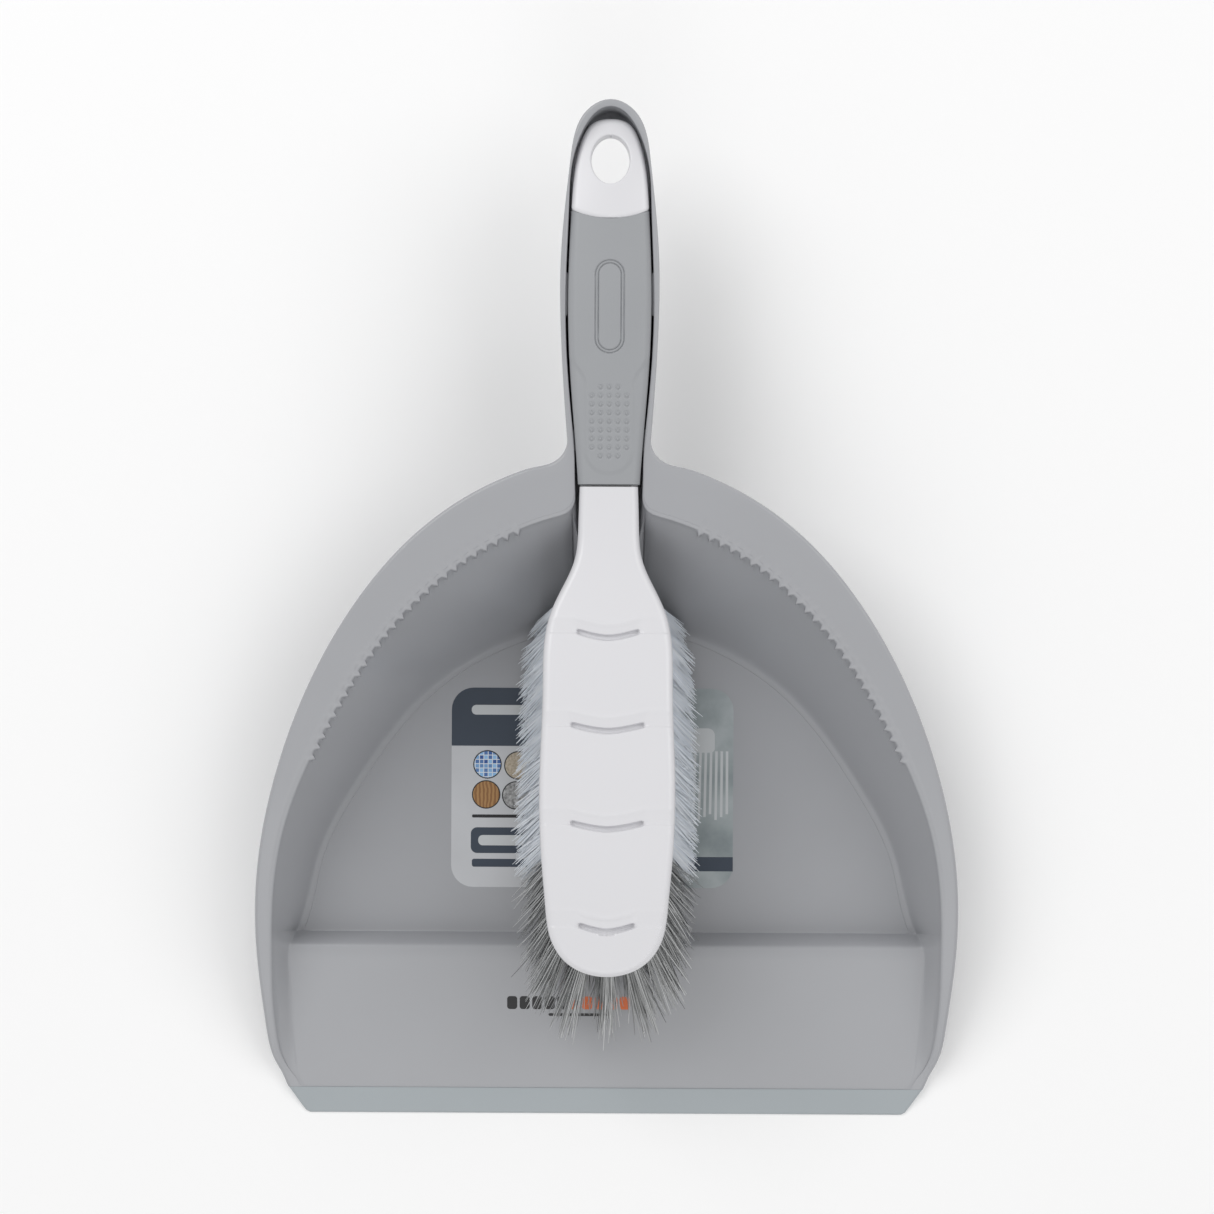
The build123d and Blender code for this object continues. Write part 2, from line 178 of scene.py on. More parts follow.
class Builder:
    """Collects vertices and faces of one piece."""

    def __init__(self):
        self.verts = []
        self.faces = []
        self.count = 0

    def add(self, points):
        points = np.asarray(points, float).reshape(-1, 3)
        first = self.count
        self.verts.append(points)
        self.count += len(points)
        return first

    def grid(self, points, flip=False, close_rows=False):
        """Faces over points[i][j]. close_rows joins the last j to the first."""
        points = np.asarray(points, float)
        n, m = points.shape[:2]
        first = self.add(points)
        columns = m if close_rows else m - 1
        for i in range(n - 1):
            for j in range(columns):
                k = (j + 1) % m
                a, b = first + i * m + j, first + i * m + k
                quad = (a, b, b + m, a + m)
                self.faces.append(quad[::-1] if flip else quad)
        return first

    def strip(self, a, b):
        """Triangles between two lines of points that need not have the same count."""
        a, b = np.asarray(a, float), np.asarray(b, float)
        first, second = self.add(a), self.add(b)
        i = j = 0
        while i < len(a) - 1 or j < len(b) - 1:
            along_a = j == len(b) - 1 or (
                i < len(a) - 1 and np.linalg.norm(a[i + 1] - b[j]) <= np.linalg.norm(a[i] - b[j + 1])
            )
            if along_a:
                self.faces.append((first + i, first + i + 1, second + j))
                i += 1
            else:
                self.faces.append((first + i, second + j + 1, second + j))
                j += 1

    def build(self, name, **kw):
        return make_mesh(name, np.vstack(self.verts), self.faces, **kw)


# ---- the pan's measures
SEAM_Y, SEAM_HALF, HANDLE_END_Y = -163.9, 111.0, 173.0
BODY_SIDE = [(SEAM_HALF, SEAM_Y), (112.7, -159.7), (115.3, -154.3), (118.0, -141.0), (120.4, -110.0)]
BODY_SIDE += [(118.8, -82.0), (111.9, -51.0), (100.0, -20.4), (84.2, 6.4), (64.7, 28.5)]
BODY_SIDE += [(42.5, 43.8), (28.4, 49.9)]
HANDLE_SIDE = [(14.0, 60.0), (16.1, 92.0), (16.3, 122.0), (13.4, 152.5), (7.8, 169.4), (0.0, HANDLE_END_Y)]
WALL_FOOT = [(105.2, SEAM_Y), (107.4, -160.3), (108.3, -156.0), (108.9, -150.0), (109.6, -140.0)]
WALL_FOOT += [(110.1, -124.0), (109.9, -114.0), (107.3, -107.0), (100.7, -82.5), (87.3, -56.3)]
WALL_FOOT += [(63.0, -25.5), (38.4, -9.3), (0.0, -0.5)]
RIM_EDGE = [(106.3, SEAM_Y), (108.3, -160.3), (110.0, -158.0), (111.6, -155.1), (113.1, -151.0)]
RIM_EDGE += [(114.2, -144.0), (115.0, -133.4), (115.0, -119.4), (114.4, -101.0), (109.9, -72.0)]
RIM_EDGE += [(98.2, -43.0), (72.6, -2.5), (44.0, 22.5), (0.0, 36.5)]
TROUGH_EDGE = [(11.4, 50.0), (13.0, 72.0), (14.7, 106.0), (13.7, 138.0), (10.8, 159.0), (0.0, 170.6)]
CORNER_START, CORNER_TIP, CORNER_END = (16.2, 34.6), (11.2, 35.8), (11.2, 41.0)
MOUTH_Y, MOUTH_HALF = 27.6, 10.3
FLOOR_Z, WALL = 2.2, 2.2
CREST_Y, CREST_Z, STEP_FOOT_Y, RAMP_FRONT_Z = -114.0, 13.0, -109.4, 2.6
SKIRT_DEPTH, SKIRT_WALL, FLANGE = 5.0, 1.8, 2.0
PAN_HOLE_Y, PAN_HOLE_RX, PAN_HOLE_RY = 153.2, 8.0, 9.6
TOOTH_PITCH, TOOTH_REACH = 4.07, 1.6
TOOTH_HALF = 0.3  # half a tooth's base, as a share of the pitch
TOOTH_PHASES = (0.0, 0.2, 0.27, 0.38, 0.46, 0.5, 0.54, 0.62, 0.73, 0.8)
TOOTH_FIRST_Y, TOOTH_LAST_Y = -49.0, 29.8
SNAP_RIBS = [(108.5, 15.0, 0.7), (60.0, 8.0, 0.45)]  # y of the middle, length, how far it stands out
SNAP_RIB_R, SNAP_RIB_DROP, SNAP_RIB_SIDES = 1.1, 2.2, 12

rim_z = profile(
    [(-176.0, 0.0), (SEAM_Y, 2.9), (-159.5, 4.2), (-156.0, 6.0), (-149.0, 9.7), (-125.0, 20.5), (-95.0, 32.0)]
    + [(-50.0, 43.5), (0.0, 53.0), (45.0, 59.5), (108.0, 63.0), (176.0, 66.0)]
)
trough_z = profile([(10.0, 44.0), (60.0, 42.6), (110.0, 42.6), (150.0, 46.5), (180.0, 55.0)])


def floor_z(y):
    """Pan floor with its ramp, crest and step, with softened corners."""
    ramp = RAMP_FRONT_Z + (CREST_Z - RAMP_FRONT_Z) * (y - SEAM_Y) / (CREST_Y - SEAM_Y)
    t = np.clip((y - CREST_Y) / (STEP_FOOT_Y - CREST_Y), 0.0, 1.0)
    step = FLOOR_Z + (CREST_Z - FLOOR_Z) * (1.0 - t**1.8) ** 0.8
    lower = -smooth_max(-ramp, -step, 0.8)
    return smooth_max(lower, np.full_like(y, FLOOR_Z), 0.5)


def pan_curves():
    body = Curve(BODY_SIDE, start=(0.48, 1.0), end=(-1.0, 0.36))
    handle = Curve(HANDLE_SIDE, start=(0.08, 1.0), end=(-1.0, 0.0))
    blend = Curve([body.p[-1], (17.0, 53.6), handle.p[0]], start=(-1.0, 0.36), end=(0.08, 1.0))
    half = len(blend.p) // 2
    outer_well = joined(body.p, blend.p[: half + 1])
    outer_handle = joined(blend.p[half:], handle.p)
    edge = Curve(RIM_EDGE, end=(-1.0, 0.0))
    edge_points = edge.p[(edge.p[:, 1] < 0) | (edge.p[:, 0] > CORNER_START[0] + 0.3)]
    q = np.linspace(0, 1, 41)[:, None]
    a, b, c = map(np.array, (CORNER_START, CORNER_TIP, CORNER_END))
    corner = (1 - q) ** 2 * a + 2 * q * (1 - q) * b + q**2 * c
    inner_well = joined(edge_points, corner[:21])
    trough = Curve(TROUGH_EDGE, start=(0.0, 1.0), end=(-1.0, 0.0))
    inner_handle = joined(corner[20:], trough.p)
    foot = Curve(WALL_FOOT, end=(-1.0, 0.0))
    return outer_well, outer_handle, inner_well, inner_handle, foot


OUTER_WELL, OUTER_HANDLE, INNER_WELL, INNER_HANDLE, FOOT = pan_curves()


def tooth_wave(distance):
    """Pointed comb tooth with a rounded tip: 0 between the teeth and 1 at the tip."""
    phase = (distance / TOOTH_PITCH) % 1.0
    rise = np.clip(1.0 - np.abs(phase - 0.5) / TOOTH_HALF, 0.0, 1.0)
    return np.minimum(rise, 0.86 + 0.14 * rise)


def unit(v):
    return v / np.maximum(np.linalg.norm(v, axis=-1, keepdims=True), 1e-9)


def rim_stations(outer, inner, low_z, tooth, floor_below, lean, bevel):
    """Points from the skirt's lower outer edge, over the rim, to the top of the inner wall."""
    across = inner - outer
    width = np.linalg.norm(across)
    d = across / width
    zo, zi = rim_z(outer[1]), rim_z(inner[1])
    room = max(zi - floor_below, 0.2)
    ro, ri = min(1.1, 0.34 * width), min(bevel, 0.45 * width)
    low = max(low_z, LOWEST_Z)
    points = [(*outer, low), (*outer, low + 0.6 * (zo - ro - low)), (*outer, zo - ro)]
    for inset, drop in list(zip(*arc_steps(ro, 5)))[1:]:
        points.append((*(outer + d * inset), zo - drop))
    for share in (0.25, 0.5, 0.75, 1.0):
        reach = ro + share * (width - ro - ri)
        points.append((*(outer + d * reach), zo + (zi - zo) * reach / width))
    start, tip = inner - d * ri, inner + d * tooth
    for share, drop in ((0.12, 0.05), (0.45, 0.16), (0.75, 0.36), (0.93, 0.66), (1.0, 1.1)):
        points.append((*(start + (tip - start) * share), zi - drop * min(bevel / 1.9, 0.3 * room)))
    for share, drop, part in ((0.9, 2.2, 0.3), (0.0, 2.9, 0.4)):
        drop = min(drop, part * room)
        points.append((*(inner + d * tooth * share + lean * max(drop - 1.1, 0.0)), zi - drop))
    return points, zi, d


WALL_SHARES = [0.06, 0.14, 0.24, 0.35, 0.47, 0.58, 0.68, 0.77, 0.84, 0.89, 0.93, 0.965, 1.0]
# A narrow raised strip runs along the wall's foot; these are its stations' distances from the foot.
STRIP_REACHES, STRIP_RAISED, STRIP_RISE = (0.4, 0.9, 1.5, 2.1, 2.3, 3.4), 4, 0.3
FLOOR_SHARES = [0.04, 0.12, 0.25, 0.42, 0.6, 0.8, 1.0]
UNSET_Z = -30.0  # stands for a height that is worked out afterwards


def wall_stations(top, foot):
    """Points from the wall's top down to the ramp or floor and on to the middle, without the first."""
    foot_z = floor_z(foot[1])
    blend_k = 2.4 - 1.2 * smooth_step(FLOOR_Z, FLOOR_Z + 1.5, foot_z)
    wall = between(top, (*foot, foot_z), WALL_SHARES)
    reach = np.array(STRIP_REACHES)[:, None]
    strip = np.hstack([foot + unit(foot - top[:2]) * reach, foot_z - 1.2 * reach])
    x, y = strip[-1, :2]
    points = np.vstack([wall, strip, [(x * (1.0 - q), y, UNSET_Z) for q in FLOOR_SHARES]])
    base = floor_z(points[:, 1])
    strip_end = len(WALL_SHARES) + STRIP_RAISED
    on_strip = np.arange(len(points)) < strip_end
    base += STRIP_RISE * on_strip * smooth_step(STEP_FOOT_Y + 0.5, STEP_FOOT_Y + 3.0, foot[1])
    k = np.minimum(blend_k, np.maximum(top[2] - base, 0.3))
    points[:, 2] = smooth_max(points[:, 2], base, k)
    points[strip_end:, 2] = base[strip_end:]
    return points


# Sections of the well: before the step, over it, up to the teeth and past them.
FRONT_SECTIONS, STEP_SECTIONS, SIDE_SECTIONS, BACK_SECTIONS = 26, 40, 22, 14


def pan_sections():
    """Rim's outer and inner edge, wall's foot and tooth's reach, dense at the comb teeth and at the step."""
    length = INNER_WELL.length
    marks = (CREST_Y - 7.0, CREST_Y + 12.0, TOOTH_FIRST_Y, TOOTH_LAST_Y)
    step_start, step_end, first, last = (INNER_WELL.where_y(y) * length for y in marks)
    teeth = int(round((last - first) / TOOTH_PITCH))
    teeth_end = first + teeth * TOOTH_PITCH
    shares = np.r_[
        np.linspace(0, step_start, FRONT_SECTIONS, endpoint=False),
        np.linspace(step_start, step_end, STEP_SECTIONS, endpoint=False),
        np.linspace(step_end, first, SIDE_SECTIONS, endpoint=False),
        first + (np.arange(teeth)[:, None] + TOOTH_PHASES).ravel() * TOOTH_PITCH,
        np.linspace(teeth_end, length, BACK_SECTIONS),
    ]
    on_teeth = (shares > first) & (shares < teeth_end)
    tooth = np.where(on_teeth, tooth_wave(shares - first) * TOOTH_REACH, 0.0)
    t = shares / length
    keys_in = INNER_WELL.keys(-140.0, -105.0, -72.0, -43.0, -2.5, 22.5)
    keys_out = OUTER_WELL.keys(-140.0, -105.0, -70.0, -40.0, 5.5, 36.5)
    keys_foot = FOOT.keys(-140.0, -107.0, -82.5, -56.3, -25.5, -9.3, -1.35)[:-1]
    outer = OUTER_WELL.at(np.interp(t, keys_in, keys_out))
    return outer, INNER_WELL.at(t), FOOT.at(np.interp(t, keys_in, keys_foot)), tooth


# Sections of the handle: at the mouth, along the trough and round the hanging hole.
MOUTH_SECTIONS, TROUGH_SECTIONS, HOLE_SECTIONS = 12, 50, 25
HOLE_START = MOUTH_SECTIONS + TROUGH_SECTIONS
TAIL_END_Y = 168.2
BLEND_SECTIONS, LEAN_SECTIONS = 14.0, 26.0  # over which the mouth turns into the plain handle


def handle_sections():
    """Outer edge, inner edge and middle line of the handle, from the mouth to its end."""
    hole = half_oval(PAN_HOLE_Y, PAN_HOLE_RX, PAN_HOLE_RY, HOLE_SECTIONS)
    mouth = np.linspace(MOUTH_Y, 40.0, MOUTH_SECTIONS, endpoint=False)
    trough = np.linspace(40.0, hole[0, 1], TROUGH_SECTIONS, endpoint=False)
    tail = np.linspace(hole[-1, 1], TAIL_END_Y, 6)[1:]
    middle = np.vstack([on_middle(mouth), on_middle(trough), hole, on_middle(tail)])
    ys, order = middle[:, 1], np.arange(len(middle))
    near, far = MOUTH_SECTIONS + 10, HOLE_START - 2
    keys = [0, near, far, HOLE_START + HOLE_SECTIONS // 2, HOLE_START + HOLE_SECTIONS - 1, len(ys) - 1]
    keys_in = INNER_HANDLE.keys(ys[near] + 2.0, ys[far] + 1.0, 155.5, 166.8)
    keys_out = OUTER_HANDLE.keys(ys[near] + 4.0, ys[far] + 1.5, 157.5, 169.2)
    inner = INNER_HANDLE.at(np.interp(order, keys, keys_in))
    outer = OUTER_HANDLE.at(np.interp(order, keys, keys_out))
    return outer, inner, middle


TROUGH_DRAFT, TROUGH_FILLET_R = 0.5, 2.2
TROUGH_WALL = [0.08, 0.2, 0.35, 0.5, 0.65, 0.8]
TROUGH_FLOOR = [0.12, 0.3, 0.52, 0.76, 1.0]


def trough_stations(top, middle, share):
    """Points from the top of the trough's wall to its floor's inner edge. share is 0 at the mouth."""
    lean = 1.0 - smooth_step(0.0, 1.0, share)
    inward = unit(middle - top[:2])
    mouth = np.array([MOUTH_HALF, mix(top[1], MOUTH_Y, lean)])
    foot = mix(top[:2] + inward * TROUGH_DRAFT, mouth, lean)
    r = TROUGH_FILLET_R
    inward = unit(middle - foot)
    points = list(between(top, (*foot, trough_z(foot[1]) + r), TROUGH_WALL))
    for inset, rise in zip(*arc_steps(r, 5)):
        at = foot + inward * inset
        points.append([*at, trough_z(at[1]) + rise])
    for at in between(foot + inward * r, middle, TROUGH_FLOOR):
        points.append([*at, trough_z(at[1])])
    return np.array(points)


RIM_BEVEL, HANDLE_BEVEL = 1.5, 0.8
SKIRT_POINTS = 4  # underneath, from the skirt's edge to the top of the wall's outside
UNDER_WALL = [0.05, 0.2, 0.35, 0.5, 0.65, 0.78, 0.88, 0.94, 1.0, 1.06]
RIM_ROOM, LOWEST_Z = 0.6, 0.15  # least room between the skirt and the wall, and above the ground


def well_rows():
    """Sections of the well, above and below, the number of rim points in each, and where the foot ends."""
    outer, inner, foot, tooth = pan_sections()
    top_rows, low_rows = [], []
    for o, i, f, a in zip(outer, inner, foot, tooth):
        low = rim_z(o[1]) - SKIRT_DEPTH
        lean = (f - i) / max(rim_z(i[1]) - floor_z(f[1]), 2.0)
        rim, zi, d = rim_stations(o, i, low, a, floor_z(i[1]), lean, RIM_BEVEL)
        top_rows.append(np.vstack([rim, wall_stations(np.array(rim[-1]), f)]))
        low_rows.append(pan_underside(o, i, f, d, zi, low))
    top_rows, low_rows = np.array(top_rows), np.array(low_rows)
    top_rows[0, :, 1] = low_rows[0, :, 1] = SEAM_Y
    return top_rows, low_rows, len(rim), foot[-1, 1]


def outside_wall(top, z_top, foot, centre):
    """Points down the outside of the well's wall, and on under its floor at no height yet."""
    wall = between((*top, z_top), (*foot, FLOOR_Z - WALL), UNDER_WALL)
    floor = between(wall[-1, :2], centre, FLOOR_SHARES)
    return np.vstack([wall, np.insert(floor, 2, UNSET_Z, axis=1)])


def pan_underside(o, i, f, d, zi, low):
    """Points from the skirt's lower inner edge, under the flange, down outside the wall, to the centre."""
    inner_skirt = o + d * SKIRT_WALL
    flange_z = max(rim_z(o[1]) - FLANGE, 0.5)
    out_top = i - d * min(WALL, np.linalg.norm(i - o) - SKIRT_WALL - RIM_ROOM)
    z_top = max(zi - FLANGE, 0.5)
    points = [
        (*inner_skirt, max(low, LOWEST_Z)),
        (*inner_skirt, max(flange_z - 0.3, 0.3)),
        (*(inner_skirt + d * 0.3), flange_z),
        (*out_top, z_top),
    ]
    below = outside_wall(out_top, z_top, f + unit(i - f) * WALL, (0.0, f[1]))
    ramp = np.maximum(floor_z(below[:, 1]) - WALL, 0.0)
    below[:, 2] = np.maximum(below[:, 2], ramp)
    return np.vstack([points, below])


def build_pan():
    """The whole pan: well, rim, handle, mouth and snap ribs."""
    piece = Builder()
    top, low, rim_count, foot_end_y = well_rows()
    handle_top, handle_low = [], []
    for k, (o, i, m) in enumerate(zip(*handle_sections())):
        blend = smooth_step(0.0, BLEND_SECTIONS, float(k))
        deep = trough_z(o[1]) - WALL + 2.0
        shallow = rim_z(o[1]) - SKIRT_DEPTH
        low_z = shallow + (deep - shallow) * blend
        bevel = RIM_BEVEL - (RIM_BEVEL - HANDLE_BEVEL) * blend
        rim, zi, d = rim_stations(o, i, low_z, 0.0, trough_z(i[1]), np.zeros(2), bevel)
        trough = trough_stations(np.array(rim[-1]), m, min(k / LEAN_SECTIONS, 1.0))
        handle_top.append(np.vstack([rim, trough]))
        handle_low.append(handle_underside(o, i, m, d, zi, low_z, blend, trough))
    handle_top, handle_low = np.array(handle_top), np.array(handle_low)
    handle_top[0, :rim_count] = top[-1, :rim_count]
    piece.grid(top)
    piece.grid(handle_top)
    piece.grid(mouth_rows(handle_top[0, rim_count - 1:], foot_end_y))
    handle_low[0, :SKIRT_POINTS] = low[-1, :SKIRT_POINTS]
    piece.grid(low, flip=True)
    piece.grid(handle_low, flip=True)
    wall_top = SKIRT_POINTS - 1
    piece.grid(mouth_rows(handle_low[0, wall_top:], foot_end_y, low[-1, wall_top:]), flip=True)
    edge_top = np.vstack([top[:, 0], handle_top[:, 0]])
    edge_low = np.vstack([low[:, 0], handle_low[:, 0]])
    piece.grid(np.stack([edge_low, edge_top], 1))
    piece.strip(top[0], low[0])
    hole = slice(HOLE_START, HOLE_START + HOLE_SECTIONS)
    piece.grid(np.stack([handle_top[hole, -1], handle_low[hole, -1]], 1))
    for rib in SNAP_RIBS:
        add_snap_rib(piece, *rib)
    return piece


def add_snap_rib(piece, middle_y, length, reach):
    """Closed bar with rounded ends along the trough's wall, which the brush's grip snaps past."""
    edge = Curve(TROUGH_EDGE, start=(0.0, 1.0), end=(-1.0, 0.0))
    r = SNAP_RIB_R
    ends = r * (1 - np.cos(np.linspace(0, math.pi / 2, 5)))
    along = np.r_[ends, length - ends[::-1]]
    widths = np.sqrt(np.maximum(r**2 - np.maximum(r - np.minimum(along, length - along), 0.0) ** 2, 1e-8))
    turn = np.linspace(0, 2 * math.pi, SNAP_RIB_SIDES, endpoint=False)
    rows = []
    for a, w in zip(along, widths):
        y = middle_y - length / 2 + a
        x = edge.at(edge.where_y(y))[0][0] - reach + r
        z = rim_z(y) - SNAP_RIB_DROP
        rows.append(np.column_stack([x + w * np.cos(turn), np.full_like(turn, y), z + w * np.sin(turn)]))
    piece.grid(np.array(rows), close_rows=True)


def mouth_rows(first, foot_y, under=None):
    """Wall sections that start on the edge of the trough's mouth. under is the underside's first row."""
    rows = []
    start = FOOT.where_y(foot_y)
    for k, top in enumerate(first):
        f = FOOT.at(start + (1.0 - start) * (1.0 - top[0] / first[0][0]))[0]
        f[0] = f[0] if k < len(first) - 1 else 0.0
        if under is None:
            points = wall_stations(top, f)
        else:
            points = outside_wall(top[:2], top[2], f + unit(top[:2] - f) * WALL, (0.0, f[1]))
            points[:, 2] = np.maximum(points[:, 2], 0.0)
        rows.append(np.vstack([top, points]))
    if under is not None:
        rows[0] = under
    return np.array(rows)


def handle_underside(o, i, m, d, zi, low_z, blend, trough):
    """Points from the handle's lower outer edge, under its trough, to the middle."""
    inner_skirt = o + d * SKIRT_WALL * (1 - blend) + d * 0.5 * blend
    flange_z = rim_z(o[1]) - FLANGE
    bottom_z = trough_z(o[1]) - WALL
    back = min(WALL, max(np.linalg.norm(i - o) - SKIRT_WALL - RIM_ROOM, 0.3))
    points = [
        (*inner_skirt, mix(low_z, bottom_z + 1.1, blend)),
        (*(inner_skirt + d * 0.4 * blend), mix(flange_z - 0.3, bottom_z + 0.5, blend)),
        (*(inner_skirt + d * mix(0.3, 0.7, blend)), mix(flange_z, bottom_z + 0.15, blend)),
        (*mix(i - d * back, inner_skirt + d * 1.9, blend), mix(zi - FLANGE, bottom_z, blend)),
    ]
    start = np.array(points[-1])
    trough_foot = trough[len(TROUGH_WALL)][:2]
    wall_foot = trough_foot + unit(trough_foot - m) * WALL * (1 - blend)
    wall_foot = mix(wall_foot, start[:2] + (m - start[:2]) * 0.15, blend)
    for q in (0.25, 0.5, 0.75, 1.0):
        at = start[:2] + (wall_foot - start[:2]) * q
        zf = trough_z(at[1]) - WALL
        points.append([*at, start[2] + (zf - start[2]) * q])
    for at in between(wall_foot, m, (0.15, 0.35, 0.55, 0.78, 1.0)):
        points.append([*at, trough_z(at[1]) - WALL])
    return np.array(points, float)


# ---- the brush's measures
NOSE_Y, GRIP_FRONT_Y, BRUSH_END_Y = -118.3, 45.0, 167.2
HEAD_SIDE = [(0.0, NOSE_Y), (14.0, -113.0), (18.6, -105.5), (20.4, -94.5), (21.8, -78.5), (22.5, -52.0)]
HEAD_SIDE += [(21.6, -23.0), (19.4, 1.5), (15.3, 10.7), (11.3, 20.0), (10.1, 32.0), (9.7, 45.5)]
GRIP_SIDE = [(10.1, GRIP_FRONT_Y), (11.1, 59.0), (12.7, 79.0), (13.7, 106.0), (12.6, 139.0)]
GRIP_SIDE += [(9.7, 159.5), (5.8, 165.8), (0.0, BRUSH_END_Y)]
HOLE_Y, HOLE_RX, HOLE_RY = 153.2, 6.4, 8.2
SEAM_MID_Y, SEAM_RISE, SEAM_CHORD = 133.4, 7.6, 20.0
HEAD_EDGE_R, GRIP_EDGE_R, LOOP_EDGE_R = 2.4, 2.6, 1.8
GRIP_SWELL = 0.2  # soft rubber stands this far outside its frame solid

head_top = profile([(-125.0, 70.0), (-105.0, 72.6), (-60.0, 72.2), (0.0, 66.4), (24.0, 62.7), (46.0, 62.7)])
head_under = profile([(-125.0, 62.6), (-60.0, 57.2), (0.0, 51.2), (24.0, 51.6), (46.0, 51.8)])
grip_top = profile([(44.0, 63.3), (70.0, 65.0), (106.0, 66.5), (140.0, 65.4), (170.0, 60.0)])
grip_under = profile([(44.0, 51.0), (70.0, 47.2), (100.0, 45.6), (130.0, 49.6), (170.0, 54.0)])

# Grooves across the head: (y at the middle, half-width). Each has a dish and a faint band behind it.
GROOVES = [(-6.0, 9.9), (-36.8, 11.7), (-69.2, 11.6), (-103.0, 8.8)]
GROOVE_RISE, GROOVE_DEPTH, DISH_DEPTH, BAND_DEPTH, BAND_WIDTH = 2.0, 1.6, 1.2, 0.35, 4.4
RIDGE_HEIGHT, RIDGE_WIDTH = 0.22, 0.8
FRONT_GAP, FRONT_GAP_DEPTH = 0.55, 4.0  # slit between the neck and the grip's front edge

# Grip details: raised pad with dots, and a racetrack outline.
PAD_FRONT_Y, PAD_HALF, PAD_RAISE = 49.0, 7.6, 0.4
DOT_HEIGHT, DOT_MOAT, TRACK_DEPTH, TRACK_WIDTH = 0.32, 0.2, 0.55, 0.19
HEAD_CROWN, GRIP_CROWN = 0.35, 0.9  # drop of the top at x = 20 and at x = 12
DOT_PITCH_X, DOT_PITCH_Y, DOT_FIRST_Y, DOT_ROWS, DOT_COLUMNS = 2.9, 2.8625, 54.35, 9, 5
TRACK_LOW_Y, TRACK_HIGH_Y, TRACK_RADII = 93.4, 114.6, (4.78, 3.8)

# Tufts, as in the frame.
ROW_FIRST_Y, ROW_PITCH, ROW_COUNT, WHITE_ROWS = 5.0, 8.5, 14, 10
NOSE_ROW_Y, NOSE_ROW_XS, NOSE_SIDE_LEAN = -111.9, (-7.6, 0.0, 7.6), 1.5
TUFT_MARGIN, TUFT_ROOT_R, TUFT_FREE = 5.2, 2.2, 45.0
SIDE_LEAN, FORWARD_LEAN, NOSE_LEAN = 15.0, 18.0, 36.0


def half_outline(points):
    """Half of the smooth closed outline through points on one side of the Y axis, with rising y."""
    from_axis = points[0][0] == 0.0
    if from_axis:
        points = points[::-1]
    full = Curve(points + [(-x, y) for x, y in points[-2::-1]])
    half = full.p[full.p[:, 0] > -1e-9]
    return joined(half[::-1] if from_axis else half)


HEAD_OUTLINE = half_outline(HEAD_SIDE)


def groove_drop(x, y):
    """Depth of the head's grooves, of the dish behind each one and of its faint band."""
    drop = np.zeros_like(x)
    for middle, half in GROOVES:
        share = np.minimum(np.abs(x), half + 1.0) / half
        behind = y - (middle + GROOVE_RISE * share**1.6)
        from_slot = np.hypot(np.maximum(np.abs(x) - half + 0.5, 0.0), behind)
        slot = 1.0 - smooth_step(0.55, 1.12, from_slot)
        slope = np.clip((BAND_WIDTH - behind) / BAND_WIDTH, 0.0, 1.0)
        slope = smooth_max(slope - 0.05, np.zeros_like(slope), 0.08) * smooth_step(-0.95, -0.6, behind)
        spread = 1.0 - smooth_step(half - 1.0, half + 2.6, np.abs(x))
        drop += GROOVE_DEPTH * slot
        drop += slope * (DISH_DEPTH * spread + BAND_DEPTH * (1.0 - spread))
        drop -= RIDGE_HEIGHT * np.exp(-(((behind - BAND_WIDTH) / RIDGE_WIDTH) ** 2)) * (0.4 + 0.6 * spread)
    return drop


def head_surface(x, y):
    slit = FRONT_GAP_DEPTH * smooth_step(GRIP_FRONT_Y - FRONT_GAP - 0.2, GRIP_FRONT_Y - FRONT_GAP, y)
    return head_top(y) - HEAD_CROWN * (x / 20.0) ** 2 - groove_drop(x, y) - slit


def dot_distance(x, y):
    column = np.clip(np.round(x / DOT_PITCH_X), -(DOT_COLUMNS // 2), DOT_COLUMNS // 2)
    row = np.clip(np.round((y - DOT_FIRST_Y) / DOT_PITCH_Y), 0, DOT_ROWS - 1)
    distance = np.hypot(x - column * DOT_PITCH_X, y - DOT_FIRST_Y - row * DOT_PITCH_Y)
    corner = ((row == 0) | (row == DOT_ROWS - 1)) & (np.abs(column) == DOT_COLUMNS // 2)
    return np.where(corner, 9.0, distance)


def plain_top(x, y):
    """Crowned top of the handle, without the grip's details."""
    return grip_top(y) - GRIP_CROWN * (x / 12.0) ** 2


def grip_surface(x, y):
    pad_half = PAD_HALF + smooth_step(78.0, 94.0, y) * 9.0
    inside = pad_half - np.hypot(x, np.minimum(y - PAD_FRONT_Y - PAD_HALF, 0.0))
    z = plain_top(x, y) - PAD_RAISE * (1.0 - smooth_step(-1.3, 0.6, inside))
    distance = dot_distance(x, y)
    z += DOT_HEIGHT * (1.0 - smooth_step(0.25, 0.62, distance))
    z -= DOT_MOAT * np.exp(-(((distance - 0.8) / 0.2) ** 2))
    track = np.hypot(x, y - np.clip(y, TRACK_LOW_Y, TRACK_HIGH_Y))
    for radius in TRACK_RADII:
        z -= TRACK_DEPTH * np.exp(-(((track - radius) / TRACK_WIDTH) ** 2))
    return z


def seam_y(x):
    radius = (SEAM_CHORD**2 + SEAM_RISE**2) / (2 * SEAM_RISE)
    return SEAM_MID_Y + radius - np.sqrt(radius**2 - x**2)


# Points of a cross-section on its upper edge, lower edge, hole's edge and under side.
EDGE_STEPS, LOW_STEPS, HOLE_STEPS, UNDER_STEPS = 7, 5, 4, 5


